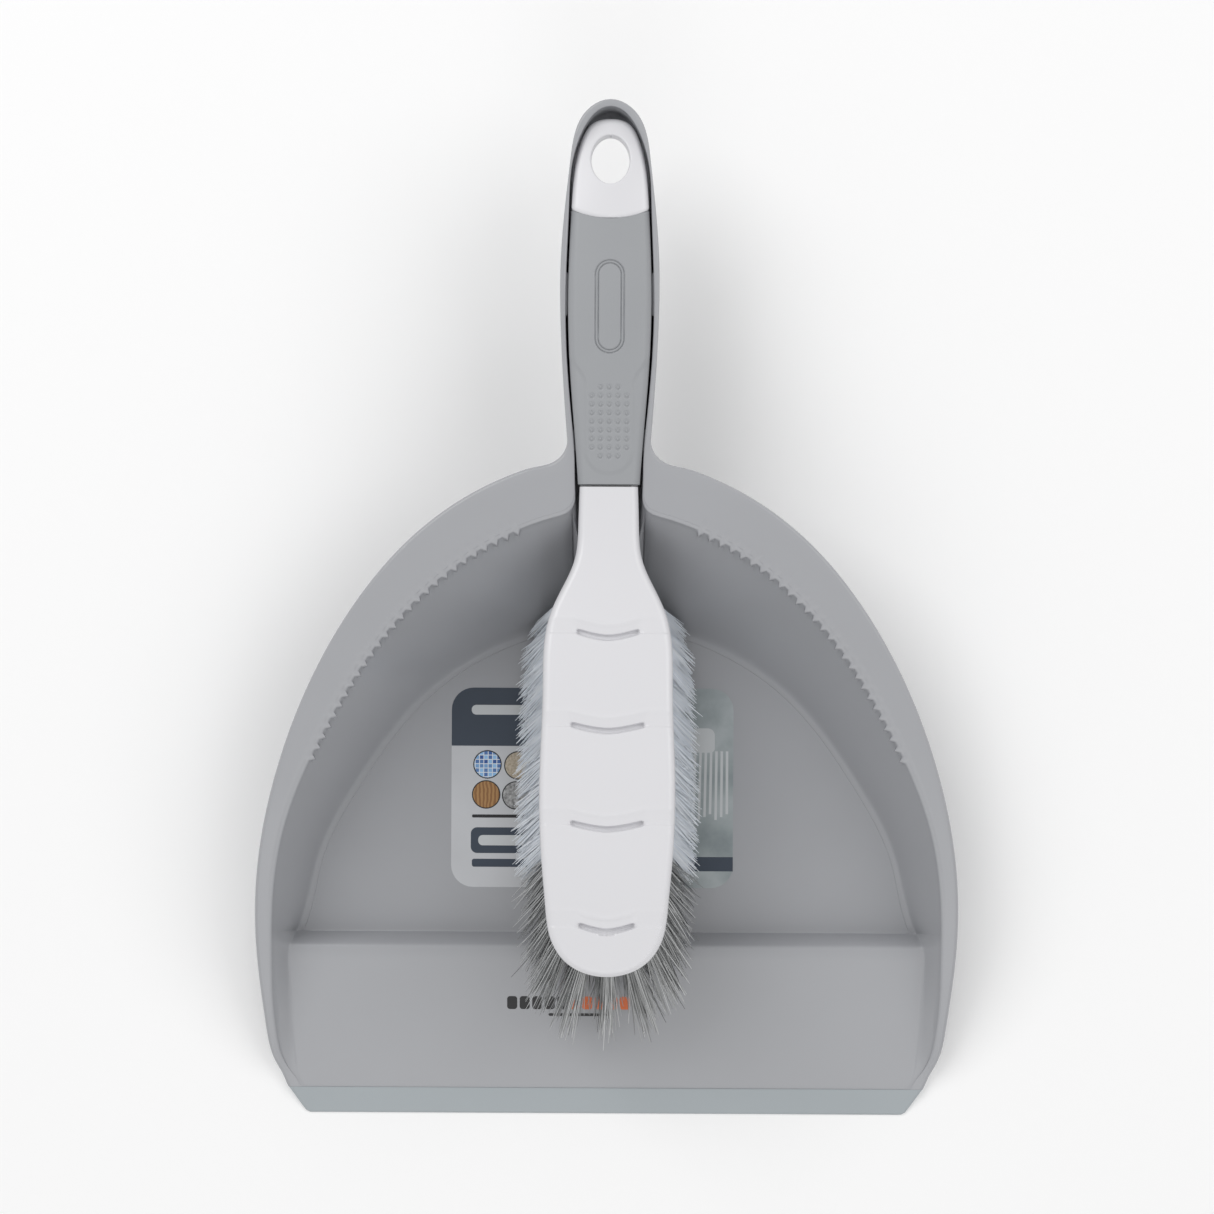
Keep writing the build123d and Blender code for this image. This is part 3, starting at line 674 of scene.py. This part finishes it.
def hollow_rows(outer, middle, top, under, edge_r, low_r, hole_r, fine, ends=(0.0, 0.0), warp=None):
    """Closed cross-sections between an outline and a middle line: under side outwards, side, top inwards.

    ends gives how much the first and last sections shrink, which makes the V of a seam.
    """
    rows = []
    n = len(outer)
    for k, (p, m) in enumerate(zip(outer, middle)):
        shrink = ends[0] if k == 0 else ends[1] if k == n - 1 else 0.0
        gap = np.linalg.norm(m - p)
        d = (m - p) / gap
        p = p + d * shrink
        gap -= shrink
        top_in, top_drop = arc_steps(min(edge_r, 0.42 * gap), EDGE_STEPS)
        low_in, low_drop = arc_steps(min(low_r, 0.42 * gap), LOW_STEPS)
        end_r = min(hole_r, 0.3 * gap) if m[0] > 0.01 else 0.001
        end_in, end_drop = arc_steps(end_r, HOLE_STEPS)
        flat = np.linspace(top_in[-1], gap - end_r, fine + 1)[1:-1]
        low_flat = np.linspace(low_in[-1], gap, UNDER_STEPS + 1)[1:]
        reach = np.r_[low_flat[::-1], low_in[::-1], top_in, flat, gap - end_in[::-1]]
        drop = np.r_[np.zeros(UNDER_STEPS), low_drop[::-1], top_drop, np.zeros(fine - 1), end_drop[::-1]]
        rows.append(np.column_stack([p + d * reach[:, None], drop + shrink]))
    x, y, drop = np.moveaxis(np.array(rows), -1, 0)
    upper = np.arange(x.shape[1]) >= UNDER_STEPS + LOW_STEPS
    if warp is not None:
        y = y + warp(x, np.arange(n)[:, None] / (n - 1.0))
    z = np.where(upper, top(x, y) - drop, under(y) + drop)
    return np.stack([x, y, z], -1)


def build_hollow(name, rows, caps, sharp=50.0):
    """Both halves of a shell over hollow_rows(), with flat caps on these rows."""
    piece = Builder()
    piece.grid(rows)
    n, m = rows.shape[:2]
    inner = rows[:, 0, 0] > 0.01
    for i in range(n - 1):
        if inner[i] or inner[i + 1]:
            a = i * m
            piece.faces.append((a, a + m, a + 2 * m - 1, a + m - 1))
    for row in caps:
        start = row % n * m
        piece.faces.append(tuple(range(start, start + m)))
    return piece.build(name, mirror=True, sharp=sharp)


# The head's sections fan out round its nose, in front of FAN_Y, from these points on the middle line.
FAN_Y, FAN_SECTIONS, FAN_MIDDLE = -104.0, 34, (-107.0, -104.4)


def build_head(name):
    side = HEAD_OUTLINE
    ys = [FAN_Y + 0.4]
    while ys[-1] < GRIP_FRONT_Y:
        near = min(abs(ys[-1] - middle - 1.5) for middle, _ in GROOVES)
        ys.append(ys[-1] + (0.22 if near < 3.0 else 0.5 if near < 8.0 else 1.2))
    slit_y = GRIP_FRONT_Y - FRONT_GAP
    ys = [y for y in ys if y < slit_y - 0.5]
    ys = np.array(ys + [slit_y - 0.2, slit_y - 0.1, slit_y, GRIP_FRONT_Y + 0.3])
    nose = np.linspace(0.0, side.where_y(FAN_Y), FAN_SECTIONS)
    outer = np.vstack([side.at(nose), side.at([side.where_y(y) for y in ys])])
    middle = on_middle(np.r_[np.linspace(*FAN_MIDDLE, FAN_SECTIONS), ys])
    rows = hollow_rows(outer, middle, head_surface, head_under, HEAD_EDGE_R, 0.9, 0.0, 56)
    return build_hollow(name, rows, [-1], sharp=42.0)


def seam_cut():
    """The handle's outline, the share and the point where it crosses the seam, and the seam's bend."""
    side = half_outline([(x + GRIP_SWELL * (y < 140.0), y) for x, y in GRIP_SIDE])
    s = np.linspace(0.5, 0.9, 4000)
    p = side.at(s)
    share = float(s[np.argmin(np.abs(p[:, 1] - seam_y(p[:, 0])))])
    x_end, y_end = side.at(share)[0]

    def bend(x):
        """Offset in y from the straight section to the seam's arc."""
        straight = SEAM_MID_Y + (y_end - SEAM_MID_Y) * x / x_end
        return np.where(x <= x_end, seam_y(x) - straight, 0.0)

    return side, share, (x_end, y_end), bend


def build_grip(name):
    side, _, end, bend = seam_cut()
    share = np.r_[0.0, 0.0015, 0.003, np.arange(0.0055, 0.9955, 0.0024), 0.9975, 1.0]
    y_outer = GRIP_FRONT_Y + (end[1] - GRIP_FRONT_Y) * share
    y_middle = GRIP_FRONT_Y + (SEAM_MID_Y - GRIP_FRONT_Y) * share
    outer = side.at([side.where_y(y) for y in y_outer])
    outer[-1] = end
    rows = hollow_rows(
        outer, on_middle(y_middle), grip_surface, grip_under, GRIP_EDGE_R, 3.0, 0.0, 60,
        ends=(0.6, 0.4), warp=lambda x, q: bend(x) * smooth_step(0.8, 1.0, q),
    )
    return build_hollow(name, rows, [0, -1])


LOOP_SECTIONS = 40  # round the hanging hole


def build_loop(name):
    side, start_s, start, bend = seam_cut()
    hole = half_oval(HOLE_Y, HOLE_RX, HOLE_RY, LOOP_SECTIONS)
    before = np.r_[0.0, 0.03, 0.1, 0.2, 0.32, 0.45, 0.58, 0.7, 0.8, 0.89, 0.95]
    middle = np.vstack([on_middle(SEAM_MID_Y + (hole[0, 1] - SEAM_MID_Y) * before), hole])
    n = len(middle)
    keys = [0, len(before), len(before) + LOOP_SECTIONS // 2, n - 1]
    shares = [start_s, side.where_y(144.6), side.where_y(157.0), 1.0]
    outer = side.at(np.interp(np.arange(n), keys, shares))
    outer[0] = start
    rows = hollow_rows(
        outer, middle, plain_top, grip_under, LOOP_EDGE_R, 3.0, 0.8, 14,
        ends=(0.4, 0.0), warp=lambda x, q: bend(x) * (1.0 - smooth_step(0.0, 0.2, q)),
    )
    return build_hollow(name, rows, [0])


# ---- bristles
def tuft_rows():
    """Rows of tufts as (x, y, side lean, forward lean), in degrees."""
    rows = []
    for i in range(ROW_COUNT):
        y = ROW_FIRST_Y - i * ROW_PITCH
        reach = float(np.interp(y, HEAD_OUTLINE.p[:, 1], HEAD_OUTLINE.p[:, 0])) - TUFT_MARGIN
        past_white = max(0, i - WHITE_ROWS + 1) / (ROW_COUNT - WHITE_ROWS + 1)
        forward = FORWARD_LEAN + (NOSE_LEAN - FORWARD_LEAN) * past_white
        rows.append([(c * reach / 2, y, c * SIDE_LEAN / 2, forward) for c in range(-2, 3)])
    rows.append([(x, NOSE_ROW_Y, x * NOSE_SIDE_LEAN, NOSE_LEAN) for x in NOSE_ROW_XS])
    return rows


def tuft_strands(place, count, tip_r, stray):
    """Centre lines of one tuft's filaments, count x stations x 3, and two directions across it."""
    x, y, side, forward = place
    down = unit(np.array([math.tan(math.radians(side)), -math.tan(math.radians(forward)), -1.0]))
    u = unit(np.cross(down, [0.0, 1.0, 0.0]))
    v = np.cross(down, u)
    k = np.arange(count)
    turn = k * GOLDEN_ANGLE + rng.uniform(0, 6.28)
    radius = np.sqrt((k + 0.5) / count)
    root = (TUFT_ROOT_R - 0.15) * radius
    tip = tip_r * radius + rng.normal(0, 0.3 * stray, count)
    length = TUFT_FREE + rng.normal(-0.6, 0.55, count)
    bend_u, bend_v = rng.normal(0, 0.7 * stray, count), rng.normal(0, 0.7 * stray, count)
    t = STRAND_STATIONS[None, :]
    free = np.clip(t, 0, 1)
    spread = root[:, None] + (tip - root)[:, None] * free**0.85
    along_u = TUFT_NARROW * spread * np.cos(turn)[:, None] + bend_u[:, None] * free**2
    along_v = TUFT_WIDEN * spread * np.sin(turn)[:, None] + bend_v[:, None] * free**2
    start = np.array([x, y, head_under(y)])
    reach = t * length[:, None]
    return start + reach[..., None] * down + along_u[..., None] * u + along_v[..., None] * v, u, v


# Filaments in a tuft, radius of its spread tip, and how unruly it is.
WHITE_STYLE, GREY_STYLE = (150, 4.5, 0.9), (72, 5.0, 1.8)
TUFT_NARROW, TUFT_WIDEN = 0.9, 1.6  # spread along u and v
GOLDEN_ANGLE, THIRDS = 2.39996, (0.0, 2.0944, 4.18879)  # radians
STRAND_STATIONS = np.array([-0.05, 0.16, 0.36, 0.56, 0.75, 0.9, 1.0])
STRAND_RADII = np.array([0.18, 0.18, 0.18, 0.18, 0.17, 0.15, 0.09])


def build_tufts(name, row, count, tip_r, stray):
    """One object with every filament of a row of tufts, each a closed three-sided rod."""
    piece = Builder()
    for place in row:
        lines, u, v = tuft_strands(place, count, tip_r, stray)
        corner = np.array([u * math.cos(a) + v * math.sin(a) for a in THIRDS])
        for line in lines:
            first = piece.grid(line[:, None] + STRAND_RADII[:, None, None] * corner, close_rows=True)
            end = piece.count
            piece.faces += [(first + 2, first + 1, first), (end - 3, end - 2, end - 1)]
    return piece.build(name, sharp=80.0, merge=0.0)


# ---- lip and label
LIP_Y, LIP_HALF = -173.0, 105.0


def build_lip(name):
    """Soft wedge along the front edge, with rounded nose and slanted ends."""
    section = [(SEAM_Y, 0.05), (-168.0, 0.0), (-172.2, 0.0), (-172.8, 0.15), (LIP_Y, 0.38), (-172.8, 0.62)]
    section += [(-172.2, 0.82), (-170.5, 1.25), (-168.0, 1.95), (SEAM_Y - 1.8, 2.58)]
    section += [(SEAM_Y - 0.6, 2.9), (SEAM_Y - 0.25, 2.96), (SEAM_Y - 0.05, 2.9), (SEAM_Y, 2.7)]
    section = np.array(section)
    shares = np.r_[np.linspace(0, 0.985, 40), 0.993, 0.997, 1.0]
    halves = [LIP_HALF - 1.6, LIP_HALF, SEAM_HALF - 0.25]
    ends = np.interp(section[:, 0], [LIP_Y, LIP_Y + 0.9, SEAM_Y], halves)
    rows = []
    for q in shares:
        edge = 1.0 - math.sqrt(max(0.0, 1.0 - (max(q - 0.993, 0.0) / 0.007) ** 2))
        z = section[:, 1] * (1.0 - 0.25 * edge)
        rows.append(np.column_stack([ends * q, section[:, 0], z]))
    piece = Builder()
    piece.grid(rows, close_rows=True)
    piece.faces.append(tuple(range(piece.count - len(section), piece.count)))
    return piece.build(name, mirror=True, sharp=45.0)


LABEL_CENTRE, LABEL_SIZE, LABEL_CORNER_R, LABEL_THICK = (-5.2, -59.0), (98.5, 69.7), 7.7, 0.15


def rounded_rectangle(x0, x1, y0, y1, radii):
    """Outline, anticlockwise. radii is one radius, or those at x1 y1, x0 y1, x0 y0 and x1 y0."""
    radii = radii if isinstance(radii, tuple) else (radii,) * 4
    corners = [(x1, y1, 0), (x0, y1, 90), (x0, y0, 180), (x1, y0, 270)]
    points = []
    for (x, y, turn), r in zip(corners, radii):
        steps = 9 if r else 1
        cx = x - r if x == x1 else x + r
        cy = y - r if y == y1 else y + r
        for i in range(steps):
            a = math.radians(turn + 90.0 * i / max(steps - 1, 1))
            points.append((cx + r * math.cos(a), cy + r * math.sin(a)))
    return points


def disc(x, y, r, steps=36):
    turns = [2 * math.pi * i / steps for i in range(steps)]
    return [(x + r * math.cos(turn), y + r * math.sin(turn)) for turn in turns]


class Print(Builder):
    """Thin printed layers on a sheet. Each layer is a closed flat prism with its own material."""

    def __init__(self):
        super().__init__()
        self.slots = []

    def layer(self, outline, low, high, slot, surface=lambda y: 0.0):
        n = len(outline)
        first = self.add([(x, y, z + surface(y)) for z in (low, high) for x, y in outline])
        faces = [tuple(first + i for i in range(n))[::-1], tuple(first + n + i for i in range(n))]
        faces += [(first + i, first + (i + 1) % n, first + n + (i + 1) % n, first + n + i) for i in range(n)]
        self.faces += faces
        self.slots += [slot] * len(faces)

    def build(self, name, materials):
        mesh = bpy.data.meshes.new(name)
        mesh.from_pydata((np.vstack(self.verts) * MM).tolist(), [], self.faces)
        for mat in materials:
            mesh.materials.append(mat)
        mesh.polygons.foreach_set("material_index", self.slots)
        mesh.update()
        return new_object(name, mesh)


SHEET, NAVY, TEAL, PALE, BLUE, BEIGE, WOOD, STONE, INK = range(9)
SWATCHES = [(-41.9, -51.0, BLUE), (-31.1, -51.3, BEIGE), (-42.3, -61.5, WOOD), (-31.8, -61.8, STONE)]

# Bars in place of lettering: x0, x1, y0, y1, corner radius, how many layers up, ink.
LABEL_BARS = [
    (-47.6, -14.0, -82.0, -73.0, 2.2, 1, NAVY),
    (-45.0, -24.0, -79.3, -75.7, 1.6, 2, PALE),
    (-47.2, -20.0, -86.8, -84.0, 0.8, 1, NAVY),
    (-47.2, -26.0, -69.6, -68.5, 0.4, 1, INK),
    (-47.5, -28.0, -33.6, -30.2, 1.6, 2, PALE),
]
PANEL_X, STRAND_COUNT, STRAND_PITCH = 14.0, 15, 1.85  # side panel with a plain brush shape


def build_label(name, materials):
    """Rectangular label: header band, four round floor swatches, bars in place of lettering, side panel."""
    cx, cy = LABEL_CENTRE
    x0, x1 = cx - LABEL_SIZE[0] / 2, cx + LABEL_SIZE[0] / 2
    y0, y1 = cy - LABEL_SIZE[1] / 2, cy + LABEL_SIZE[1] / 2
    r = LABEL_CORNER_R
    base, step = FLOOR_Z + LABEL_THICK, 0.02
    page = Print()
    page.layer(rounded_rectangle(x0, x1, y0, y1, r), FLOOR_Z, base, SHEET)
    page.layer(rounded_rectangle(x0, PANEL_X, -44.5, y1, (0, r, 0, 0)), base, base + step, NAVY)
    page.layer(rounded_rectangle(PANEL_X, x1, y0, y1, (r, 0, 0, r)), base, base + step, TEAL)
    for i in range(STRAND_COUNT):
        x, fan, end_y = PANEL_X + 1.5 + STRAND_PITCH * i, 0.1 * i, -70.0 + (i % 3)
        strand = [(x, -46.0), (x - 1.4 + fan, end_y), (x - 0.5 + fan, end_y), (x + 0.9, -46.0)]
        page.layer(strand, base, base + 2 * step, PALE)
    block = rounded_rectangle(PANEL_X, x1 - 6.5, -46.5, -38.0, (2.5, 2.5, 1.5, 1.5))
    page.layer(block, base, base + 3 * step, PALE)
    page.layer(rounded_rectangle(PANEL_X, x1, -88.0, -83.0, 0), base, base + 2 * step, NAVY)
    for x, y, slot in SWATCHES:
        page.layer(disc(x, y, 5.0), base, base + step, INK)
        page.layer(disc(x, y, 4.6), base, base + 2 * step, slot)
    for *edges, radius, layers, ink in LABEL_BARS:
        page.layer(rounded_rectangle(*edges, radius), base, base + layers * step, ink)
    return page.build(name, materials)


MARK_X, MARK_PITCH, MARK_WIDTH, MARK_BLOCKS = -34.4, 4.35, 3.5, 10
MARK_LOW, MARK_HIGH = -0.02, 0.03  # below and above the ramp


def build_mark(name, materials):
    """Plain row of blocks in two colours printed on the ramp, with a thin bar under it."""
    page = Print()
    for i in range(MARK_BLOCKS):
        x0 = MARK_X + MARK_PITCH * i
        block = rounded_rectangle(x0, x0 + MARK_WIDTH, -135.8, -131.2, 1.0)
        page.layer(block, MARK_LOW, MARK_HIGH, int(i >= MARK_BLOCKS // 2), floor_z)
    page.layer(rounded_rectangle(-20.0, 2.0, -138.2, -137.2, 0.5), MARK_LOW, MARK_HIGH, 0, floor_z)
    return page.build(name, materials)


# ---- materials
def set_inputs(node, values):
    """Puts constants on a node's inputs, and links to those whose value is another node's output."""
    for socket, value in values.items():
        if isinstance(value, bpy.types.NodeSocket):
            node.id_data.links.new(value, node.inputs[socket])
        else:
            node.inputs[socket].default_value = value


def new_material(name, values):
    """Material whose shader has these values, with its node tree and the shader."""
    mat = bpy.data.materials.new(name)
    mat.use_nodes = True
    shader = mat.node_tree.nodes["Principled BSDF"]
    set_inputs(shader, values)
    return mat, mat.node_tree, shader


def add_node(tree, kind, values=None):
    node = tree.nodes.new("ShaderNode" + kind)
    set_inputs(node, values or {})
    return node


def vary_colour(tree, source, dark, light, low=0.0, high=1.0):
    """Colour that follows source, from dark at low to light at high."""
    ramp = add_node(tree, "ValToRGB", {"Fac": source})
    first, last = ramp.color_ramp.elements
    first.color, last.color = (*dark, 1), (*light, 1)
    first.position, last.position = low, high
    return ramp.outputs["Color"]


def vary_gloss(tree, source, low, high):
    """Roughness that follows source, between low and high."""
    return add_node(tree, "MapRange", {"To Min": low, "To Max": high, "Value": source}).outputs["Result"]


def material(name, colour, roughness, bump=0.0, vary=0.03, uneven=0.045, sheen=0.0, metallic=0.0):
    """Moulded plastic or rubber: a noisy colour, a fine surface grain and slightly uneven gloss."""
    values = {"IOR": 1.49, "Sheen Weight": sheen, "Metallic": metallic}
    mat, tree, shader = new_material(name, values)
    place = add_node(tree, "TexCoord").outputs["Object"]
    broad = add_node(tree, "TexNoise", {"Scale": 28.0, "Detail": 4.0, "Vector": place}).outputs["Fac"]
    fine = add_node(tree, "TexNoise", {"Scale": 900.0, "Detail": 3.0, "Vector": place}).outputs["Fac"]
    dark, light = [c * (1 - vary) for c in colour], [min(1.0, c * (1 + vary)) for c in colour]
    shade = vary_colour(tree, broad, dark, light, 0.3, 0.7)
    gloss = vary_gloss(tree, fine, roughness - uneven, roughness + uneven)
    set_inputs(shader, {"Base Color": shade, "Roughness": gloss})
    if bump:
        grain = add_node(tree, "Bump", {"Strength": bump, "Distance": 0.0002, "Height": fine})
        set_inputs(shader, {"Normal": grain.outputs["Normal"]})
    return mat


def patterned(name, kind, scale, dark, light, low=0.35, high=0.65):
    """Printed picture of a floor covering: mosaic, wood, or a soft noise for carpet and stone."""
    mat, tree, shader = new_material(name, {"Roughness": 0.4})
    values = {"Scale": scale, "Vector": add_node(tree, "TexCoord").outputs["Object"]}
    if kind == "mosaic":
        tiles = add_node(tree, "TexVoronoi", {**values, "Randomness": 0.0})
        tiles.voronoi_dimensions = "2D"
        tiles.distance = "CHEBYCHEV"
        value = add_node(tree, "SeparateColor", {"Color": tiles.outputs["Color"]}).outputs["Red"]
    elif kind == "wood":
        value = add_node(tree, "TexWave", {**values, "Distortion": 4.0}).outputs["Fac"]
    else:
        value = add_node(tree, "TexNoise", {**values, "Detail": 6.0}).outputs["Fac"]
    colour = vary_colour(tree, value, dark, light, low, high)
    if kind == "mosaic":
        grout = add_node(tree, "Math", {0: tiles.outputs["Distance"], 1: 0.41})
        grout.operation = "GREATER_THAN"
        joint = add_node(tree, "Mix")
        joint.data_type = "RGBA"
        set_inputs(joint, {"Factor": grout.outputs["Value"], "A": colour, "B": (0.75, 0.8, 0.85, 1)})
        colour = joint.outputs["Result"]
    set_inputs(shader, {"Base Color": colour})
    return mat


def strand_material(name, dark, light, sheen):
    """Nylon filaments whose shade changes from one to the next. sheen brightens their edges."""
    values = {"IOR": 1.53, "Sheen Weight": sheen, "Sheen Roughness": 0.5}
    values["Sheen Tint"] = (0.86, 0.93, 1.0, 1)
    mat, tree, shader = new_material(name, values)
    strand = add_node(tree, "NewGeometry").outputs["Random Per Island"]
    gloss = vary_gloss(tree, strand, 0.25, 0.45)
    set_inputs(shader, {"Base Color": vary_colour(tree, strand, dark, light), "Roughness": gloss})
    return mat


PAN_PLASTIC = material("pan_plastic", (0.384, 0.390, 0.409), 0.24, bump=0.05, vary=0.012)
LIP_RUBBER = material("lip_rubber", (0.38, 0.415, 0.435), 0.42, bump=0.15, vary=0.02)
WHITE_PLASTIC = material("brush_plastic", (0.735, 0.732, 0.755), 0.28, bump=0.002, vary=0.003, uneven=0.01)
GRIP_RUBBER = material("grip_rubber", (0.335, 0.345, 0.36), 0.48, bump=0.2, vary=0.02, sheen=0.05)
WHITE_BRISTLE = strand_material("bristle_white", (0.88, 0.92, 0.98), (0.98, 0.99, 1.0), 1.0)
GREY_BRISTLE = strand_material("bristle_grey", (0.07, 0.074, 0.074), (0.68, 0.69, 0.69), 0.0)
WIRE = material("anchor_wire", (0.5, 0.5, 0.5), 0.35, metallic=1.0)
LABEL_MATERIALS = [
    material("label_sheet", (0.57, 0.58, 0.60), 0.3, bump=0.05, vary=0.07),
    material("print_navy", (0.045, 0.06, 0.085), 0.3, vary=0.08),
    patterned("print_panel", "carpet", 60.0, (0.24, 0.28, 0.29), (0.42, 0.46, 0.47)),
    material("print_pale", (0.58, 0.60, 0.61), 0.3, vary=0.03),
    patterned("print_mosaic", "mosaic", 660.0, (0.03, 0.10, 0.34), (0.30, 0.55, 0.85), 0.1, 0.9),
    patterned("print_carpet", "carpet", 1500.0, (0.36, 0.30, 0.22), (0.56, 0.49, 0.39)),
    patterned("print_wood", "wood", 240.0, (0.27, 0.13, 0.045), (0.42, 0.23, 0.09)),
    patterned("print_stone", "stone", 900.0, (0.18, 0.18, 0.18), (0.50, 0.50, 0.50)),
    material("print_ink", (0.02, 0.02, 0.022), 0.35, vary=0.1),
]
MARK_MATERIALS = [
    material("mark_ink", (0.012, 0.012, 0.014), 0.35, vary=0.1),
    material("mark_orange", (0.75, 0.16, 0.04), 0.35, vary=0.05),
]


def dress(obj, body, mat, slot, *replaced):
    """Gives a piece its material and the body it rides on, and hides the nodes it replaces. slot is not used.
    """
    if mat is not None:
        obj.data.materials.clear()
        obj.data.materials.append(mat)
    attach(obj, body)
    if replaced:
        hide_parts(*replaced)


def build_all():
    pan = build_pan().build("pan_shell", mirror=True, sharp=38.0)
    dress(pan, "pan", PAN_PLASTIC, "pan_plastic", "pan_body")
    dress(build_mark("ramp_mark", MARK_MATERIALS), "pan", None, "pan_plastic")
    dress(build_lip("soft_lip"), "pan", LIP_RUBBER, "lip_rubber", "rubber_lip")
    dress(build_label("printed_label", LABEL_MATERIALS), "pan", None, "label_paper", "label")
    head = build_head("brush_head")
    dress(head, "brush", WHITE_PLASTIC, "brush_plastic", "brush_body")
    dress(build_loop("hanging_end"), "brush", WHITE_PLASTIC, "brush_plastic")
    dress(build_grip("soft_grip"), "brush", GRIP_RUBBER, "grip_rubber", "brush_grip")
    for number, row in enumerate(tuft_rows(), start=1):
        if number <= WHITE_ROWS:
            colour, style, mat = "white", WHITE_STYLE, WHITE_BRISTLE
        else:
            colour, style, mat = "grey", GREY_STYLE, GREY_BRISTLE
        piece = build_tufts(f"bristles_row_{number:02d}", row, *style)
        dress(piece, "brush", mat, f"bristle_{colour}", f"{colour}_tufts_row_{number:02d}")
    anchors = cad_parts["tuft_anchors"]
    anchors.data.materials.clear()
    anchors.data.materials.append(WIRE)


build_all()

# ---- stage, light, camera
FLOOR_HALF, WORLD_STRENGTH = 6.0, 0.52
# Soft square lights that face the origin: name, place in metres, size, power.
LIGHTS = [
    ("key", (-0.9, 0.9, 1.5), 1.1, 13.0),
    ("fill", (1.1, 0.5, 1.4), 1.2, 7.5),
    ("front", (0.0, -1.3, 1.1), 1.2, 4.5),
]
SENSOR, CAMERA_AT, CAMERA_TURN, VIEW_WIDTH = 36.0, (-0.4, 4.25, 1250.0), 0.3, 425.3


def stage():
    mesh = bpy.data.meshes.new("floor")
    s = FLOOR_HALF
    mesh.from_pydata([(-s, -s, 0), (s, -s, 0), (s, s, 0), (-s, s, 0)], [], [(0, 1, 2, 3)])
    floor = new_object("floor", mesh)
    mesh.materials.append(new_material("floor", {"Base Color": (0.97, 0.97, 0.97, 1), "Roughness": 0.9})[0])
    world = bpy.data.worlds.new("studio")
    world.use_nodes = True
    sky = world.node_tree.nodes["Background"]
    set_inputs(sky, {"Color": (1.0, 1.0, 1.0, 1), "Strength": WORLD_STRENGTH})
    bpy.context.scene.world = world
    for name, at, size, power in LIGHTS:
        light = bpy.data.lights.new(name, "AREA")
        light.shape = "SQUARE"
        light.size = size
        light.energy = power
        obj = new_object(name, light)
        obj.location = at
        obj.rotation_euler = (-Vector(at)).to_track_quat("-Z", "Y").to_euler()


def camera():
    data = bpy.data.cameras.new("camera")
    data.sensor_width = SENSOR
    data.lens = SENSOR * CAMERA_AT[2] / VIEW_WIDTH
    data.clip_start = 0.01
    obj = new_object("camera", data)
    obj.location = [v * MM for v in CAMERA_AT]
    obj.rotation_euler = (0.0, 0.0, math.radians(CAMERA_TURN))
    bpy.context.scene.camera = obj


stage()
camera()
bpy.context.scene.view_settings.view_transform = "Standard"
